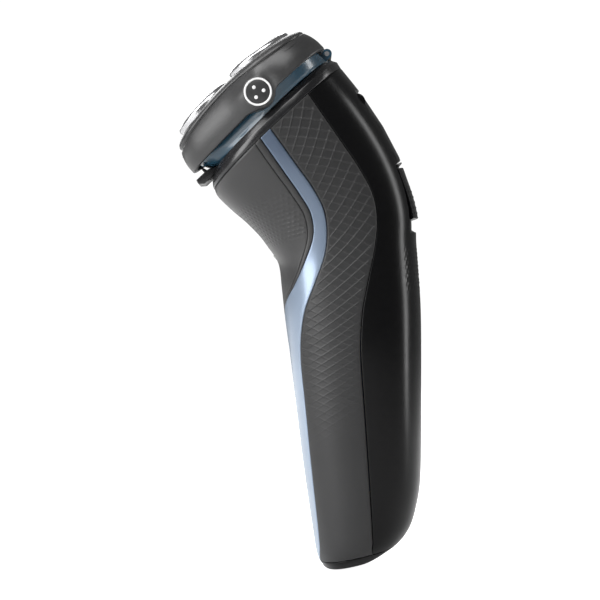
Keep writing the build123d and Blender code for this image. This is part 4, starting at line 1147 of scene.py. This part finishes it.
def build_caps():
    """Steel guard caps: rounded rim with fine radial slots, a dished middle and a raised hub."""
    slots, per = 90, 4
    count = slots * per
    for index in range(3):
        origin, side, across, axis = cap_frame(index)

        def ring(radius, level, slotted=0.0):
            loop = []
            for step in range(count):
                turn = 2 * math.pi * step / count
                depth = slotted if step % per in (0, 1) else 0.0
                loop.append((origin + side * radius * math.cos(turn) + across * radius * math.sin(turn)
                             + axis * (level - depth)) * MM)
            return loop
        top = 1.7
        profile = [(10.75, -2.95, 0), (10.8, -2.0, 0), (10.8, 0.55, 0), (10.74, 0.85, 0), (10.6, 1.1, 0),
                   (10.38, 1.34, 0), (10.1, 1.52, 0), (9.8, 1.62, 0.28), (9.4, top - 0.02, 0.32),
                   (8.8, top, 0.32), (7.4, top, 0.32), (6.4, top - 0.02, 0.3), (6.1, top - 0.05, 0),
                   (5.9, top - 0.2, 0), (5.6, top - 0.75, 0), (5.2, top - 0.85, 0), (3.6, top - 0.85, 0),
                   (3.3, top - 0.78, 0), (3.0, top - 0.55, 0), (2.4, top - 0.45, 0), (0.05, top - 0.4, 0)]
        profile += [(0.05, top - 1.2, 0), (5.4, top - 1.4, 0), (8.8, top - 0.9, 0), (9.6, top - 1.2, 0),
                    (10.15, 0.2, 0), (10.15, -2.95, 0)]
        piece = ring_piece(f"guard_cap_steel_{index + 1}", [ring(*entry) for entry in profile])
        smooth_by_angle(piece, 45.0)
        rides(piece, f"cap_{index + 1}", f"guard_cap_{index + 1}", finish=FINISH["steel"],
              slot="steel_polished")


def build_latch():
    """Release catch at the front of the chamber: a bevelled block with a thin rib on top."""
    block = [(-31.1, -5.1), (-26.2, -5.1), (-23.6, -6.1), (-23.9, -7.7), (-29.9, -7.7), (-31.4, -6.5)]
    rib = [(-27.6, -5.3), (-27.6, -3.3), (-27.1, -3.1), (-26.3, -5.3)]
    for name, outline, half, round_off in (("release_catch", block, 7.0, 0.35),
                                           ("release_catch_rib", rib, 4.0, 0.12)):
        middle_u = sum(u for u, _ in outline) / len(outline)
        middle_a = sum(a for _, a in outline) / len(outline)
        loops = []
        for x, inset in ((-half, 0.06), (-half + 0.4, 0.0), (half - 0.4, 0.0), (half, 0.06)):
            loops.append([head_point(x, u - (u - middle_u) * inset, a - (a - middle_a) * inset)
                          for u, a in outline])
        piece = loop_piece(name, loops, smooth=False)
        bevelled(piece, round_off, 3, 25.0)
        nodes = ("head_latch",) if outline is block else ()
        rides(piece, "latch", *nodes, finish=FINISH["collar"], slot="black_plastic")


def build_emblems():
    """Plain round badge on each side of the head: a printed ring with three dots."""
    for sign, name in ((1, "right"), (-1, "left")):
        def ring_loop(radius, out, count=64, place=(0.0, 0.0)):
            return [head_point(sign * out, place[0] + radius * math.cos(a), place[1] + radius * math.sin(a))
                    for a in turns(count)]
        disc = loop_piece(f"{name}_badge_disc", [ring_loop(*entry) for entry in (
            (4.55, 27.6), (4.55, 28.0), (4.45, 28.1), (2.0, 28.14), (0.05, 28.15))])
        rides(disc, "head", f"{name}_emblem", finish=FINISH["head"], slot="head_satin")
        ring = ring_piece(f"{name}_badge_ring", [ring_loop(*entry) for entry in (
            (4.2, 28.06), (4.18, 28.2), (4.1, 28.24), (3.68, 28.24), (3.6, 28.2), (3.58, 28.06))])
        rides(ring, "head", finish=FINISH["white"], slot="white_print")
        for number, turn in enumerate((90, 210, 330)):
            place = (1.75 * math.cos(math.radians(turn)), 1.75 * math.sin(math.radians(turn)))
            dot = loop_piece(f"{name}_badge_dot_{number + 1}", [
                ring_loop(radius, out, 24, place)
                for radius, out in ((0.55, 28.1), (0.55, 28.2), (0.45, 28.24), (0.05, 28.25))])
            rides(dot, "head", finish=FINISH["white"], slot="white_print")


# ---- finishes for the nodes that keep their own shape -------------------------------------------
NODE_FINISH = {
    "hair_chamber": "chamber", "head_hinge_pin": "shaft", "battery_cell": "wrap", "battery_contacts": "brass",
    "circuit_board": "board", "board_components": "black", "inner_frame": "grey", "tact_switch": "black",
    "switch_board": "board", "switch_plunger": "grey", "gearbox_lid": "grey", "gearbox_base": "grey",
    "gearbox_screws": "shaft", "spindle_seals": "rubber", "motor_can": "shaft", "motor_bush": "brass",
    "motor_magnets": "magnet", "motor_rotor": "magnet", "motor_shaft": "shaft", "motor_pinion": "acetal",
    "trimmer_hinge_pin": "shaft", "head_latch": "black", "head_carrier": "black", "retaining_frame": "black",
    "trimmer_fixed_comb": "steel", "trimmer_moving_blade": "steel", "power_socket": "black",
    "socket_pins": "brass", "cap_carrier": "black", "cutter": "shaft", "drive_gear": "acetal",
    "drive_spindle": "acetal",
}


def dress_nodes():
    """Gives every frame node that keeps its own shape a finish."""
    for node in frame["nodes"]:
        finish = NODE_FINISH.get(node) or NODE_FINISH.get(node.rsplit("_", 1)[0])
        held = bpy.data.objects.get(node)
        if finish is None or held is None:
            continue
        if not held.material_slots:
            held.data.materials.append(FINISH[finish])
        for holder in held.material_slots:
            holder.material = FINISH[finish]


def length(name, description, default):
    """A setting that is a length."""
    return bpy.props.FloatProperty(name=name, description=description, default=default,
                                   subtype="DISTANCE", unit="LENGTH")


def tint(name, description, default):
    """A setting that is a colour."""
    return bpy.props.FloatVectorProperty(name=name, description=description, default=default,
                                         subtype="COLOR")


class ShaverFinishSettings(bpy.types.PropertyGroup):
    """Sizes, colours and light that can be changed before the steps are run."""
    lattice_length: length("Lattice length", "Pitch of the grip diamonds along the handle", 0.00336)
    lattice_low: length("Lower lattice length", "Pitch of the grip diamonds along the lower handle", 0.0024)
    lattice_width: length("Lattice width", "Pitch of the grip diamonds round the handle", 0.0044)
    lattice_rows: bpy.props.IntProperty(name="Grip rows", description="Mesh rows along a grip", default=600)
    lattice_columns: bpy.props.IntProperty(name="Grip columns", description="Mesh columns across a grip",
                                           default=120)
    grip_colour: tint("Grip", "Matt rubber of the side grips", (0.019, 0.019, 0.0195))
    cover_colour: tint("Cover", "Glossy back cover and foot", (0.0035, 0.0035, 0.0038))
    panel_colour: tint("Panel", "Satin front panel", (0.024, 0.024, 0.0245))
    head_colour: tint("Head", "Satin head shell and cap plate", (0.028, 0.028, 0.0285))
    trim_colour: tint("Trim", "Metallic blue front trim", (0.3, 0.37, 0.47))
    chamber_colour: tint("Chamber", "Tinted hair chamber", (0.02, 0.06, 0.095))
    world_light: bpy.props.FloatProperty(name="Sky light", description="Strength of the even studio light",
                                         default=0.16)
    floor_lift: bpy.props.FloatProperty(name="Floor lift", description="Extra brightness of the pale floor",
                                        default=0.98)
    distance: length("Camera distance", "From the handle's middle plane", 0.58)
    view_y: length("Camera along", "Camera place front to back", -0.01705)
    view_z: length("Camera height", "Camera height above the foot", 0.0808)
    lens: bpy.props.FloatProperty(name="Lens", description="Camera focal length", default=112.0,
                                  subtype="DISTANCE_CAMERA")


class SHAVER_OT_finishes(bpy.types.Operator):
    """Makes the shared shader groups and every finish"""
    bl_idname = "shaver.finishes"
    bl_label = "Finishes"

    def execute(self, context):
        make_finishes()
        return {"FINISHED"}


class SHAVER_OT_grips(bpy.types.Operator):
    """Left and right rubber grips with their diamond lattice"""
    bl_idname = "shaver.grips"
    bl_label = "Grips"

    def execute(self, context):
        build_grips()
        return {"FINISHED"}


class SHAVER_OT_front_trim(bpy.types.Operator):
    """Metallic blade up the front and its two arms"""
    bl_idname = "shaver.front_trim"
    bl_label = "Front Trim"

    def execute(self, context):
        build_trim()
        return {"FINISHED"}


class SHAVER_OT_front_panel(bpy.types.Operator):
    """Shield panel between the trim's arms"""
    bl_idname = "shaver.front_panel"
    bl_label = "Front Panel"

    def execute(self, context):
        build_front_panel()
        return {"FINISHED"}


class SHAVER_OT_button(bpy.types.Operator):
    """On/off button"""
    bl_idname = "shaver.button"
    bl_label = "Button"

    def execute(self, context):
        build_button()
        return {"FINISHED"}


class SHAVER_OT_lamp(bpy.types.Operator):
    """Charge lamp under the button"""
    bl_idname = "shaver.lamp"
    bl_label = "Lamp"

    def execute(self, context):
        build_lamp()
        return {"FINISHED"}


class SHAVER_OT_back_cover(bpy.types.Operator):
    """Glossy back cover with trimmer arm and slide"""
    bl_idname = "shaver.back_cover"
    bl_label = "Back Cover"

    def execute(self, context):
        build_cover()
        return {"FINISHED"}


class SHAVER_OT_foot(bpy.types.Operator):
    """Foot cap with the power socket opening"""
    bl_idname = "shaver.foot"
    bl_label = "Foot"

    def execute(self, context):
        build_foot()
        return {"FINISHED"}


class SHAVER_OT_collar(bpy.types.Operator):
    """Two-facet collar ring"""
    bl_idname = "shaver.collar"
    bl_label = "Collar"

    def execute(self, context):
        build_collar()
        return {"FINISHED"}


class SHAVER_OT_head_shell(bpy.types.Operator):
    """Head shell with its side bosses"""
    bl_idname = "shaver.head_shell"
    bl_label = "Head Shell"

    def execute(self, context):
        build_shell()
        return {"FINISHED"}


class SHAVER_OT_cap_plate(bpy.types.Operator):
    """Domed plate that holds the three caps"""
    bl_idname = "shaver.cap_plate"
    bl_label = "Cap Plate"

    def execute(self, context):
        build_plate()
        return {"FINISHED"}


class SHAVER_OT_latch(bpy.types.Operator):
    """Release catch under the head's front edge"""
    bl_idname = "shaver.latch"
    bl_label = "Latch"

    def execute(self, context):
        build_latch()
        return {"FINISHED"}


class SHAVER_OT_guard_caps(bpy.types.Operator):
    """Three slotted steel caps"""
    bl_idname = "shaver.guard_caps"
    bl_label = "Guard Caps"

    def execute(self, context):
        build_caps()
        return {"FINISHED"}


class SHAVER_OT_badges(bpy.types.Operator):
    """Round printed badges on the head"""
    bl_idname = "shaver.badges"
    bl_label = "Badges"

    def execute(self, context):
        build_emblems()
        return {"FINISHED"}


class SHAVER_OT_node_finishes(bpy.types.Operator):
    """Finishes for the parts that keep their frame shape"""
    bl_idname = "shaver.node_finishes"
    bl_label = "Node Finishes"

    def execute(self, context):
        dress_nodes()
        return {"FINISHED"}


class SHAVER_OT_stage(bpy.types.Operator):
    """Floor, lights and camera"""
    bl_idname = "shaver.stage"
    bl_label = "Stage"

    def execute(self, context):
        build_stage()
        return {"FINISHED"}


OPERATORS = [
    SHAVER_OT_finishes, SHAVER_OT_grips, SHAVER_OT_front_trim, SHAVER_OT_front_panel, SHAVER_OT_button,
    SHAVER_OT_lamp, SHAVER_OT_back_cover, SHAVER_OT_foot, SHAVER_OT_collar, SHAVER_OT_head_shell,
    SHAVER_OT_cap_plate, SHAVER_OT_latch, SHAVER_OT_guard_caps, SHAVER_OT_badges,
    SHAVER_OT_node_finishes, SHAVER_OT_stage,
]


class SHAVER_PT_finish(bpy.types.Panel):
    """Lists the steps that build the shaver."""
    bl_idname = "SHAVER_PT_finish"
    bl_label = "Rotary Shaver"
    bl_space_type = "VIEW_3D"
    bl_region_type = "UI"
    bl_category = "Shaver"

    def draw(self, context):
        for operator in OPERATORS:
            self.layout.operator(operator.bl_idname)


CLASSES = [ShaverFinishSettings, *OPERATORS, SHAVER_PT_finish]


def register():
    """Registers the classes and the settings."""
    for kind in CLASSES:
        bpy.utils.register_class(kind)
    bpy.types.Scene.shaver_finish = bpy.props.PointerProperty(type=ShaverFinishSettings)


def unregister():
    """Takes the settings and the classes away again."""
    del bpy.types.Scene.shaver_finish
    for kind in reversed(CLASSES):
        bpy.utils.unregister_class(kind)


def main():
    """Runs every step in order."""
    register()
    for operator in OPERATORS:
        if getattr(bpy.ops.shaver, operator.bl_idname.split(".")[1])() != {"FINISHED"}:
            raise RuntimeError(f"{operator.bl_label} did not finish")


if __name__ == "__main__":
    main()
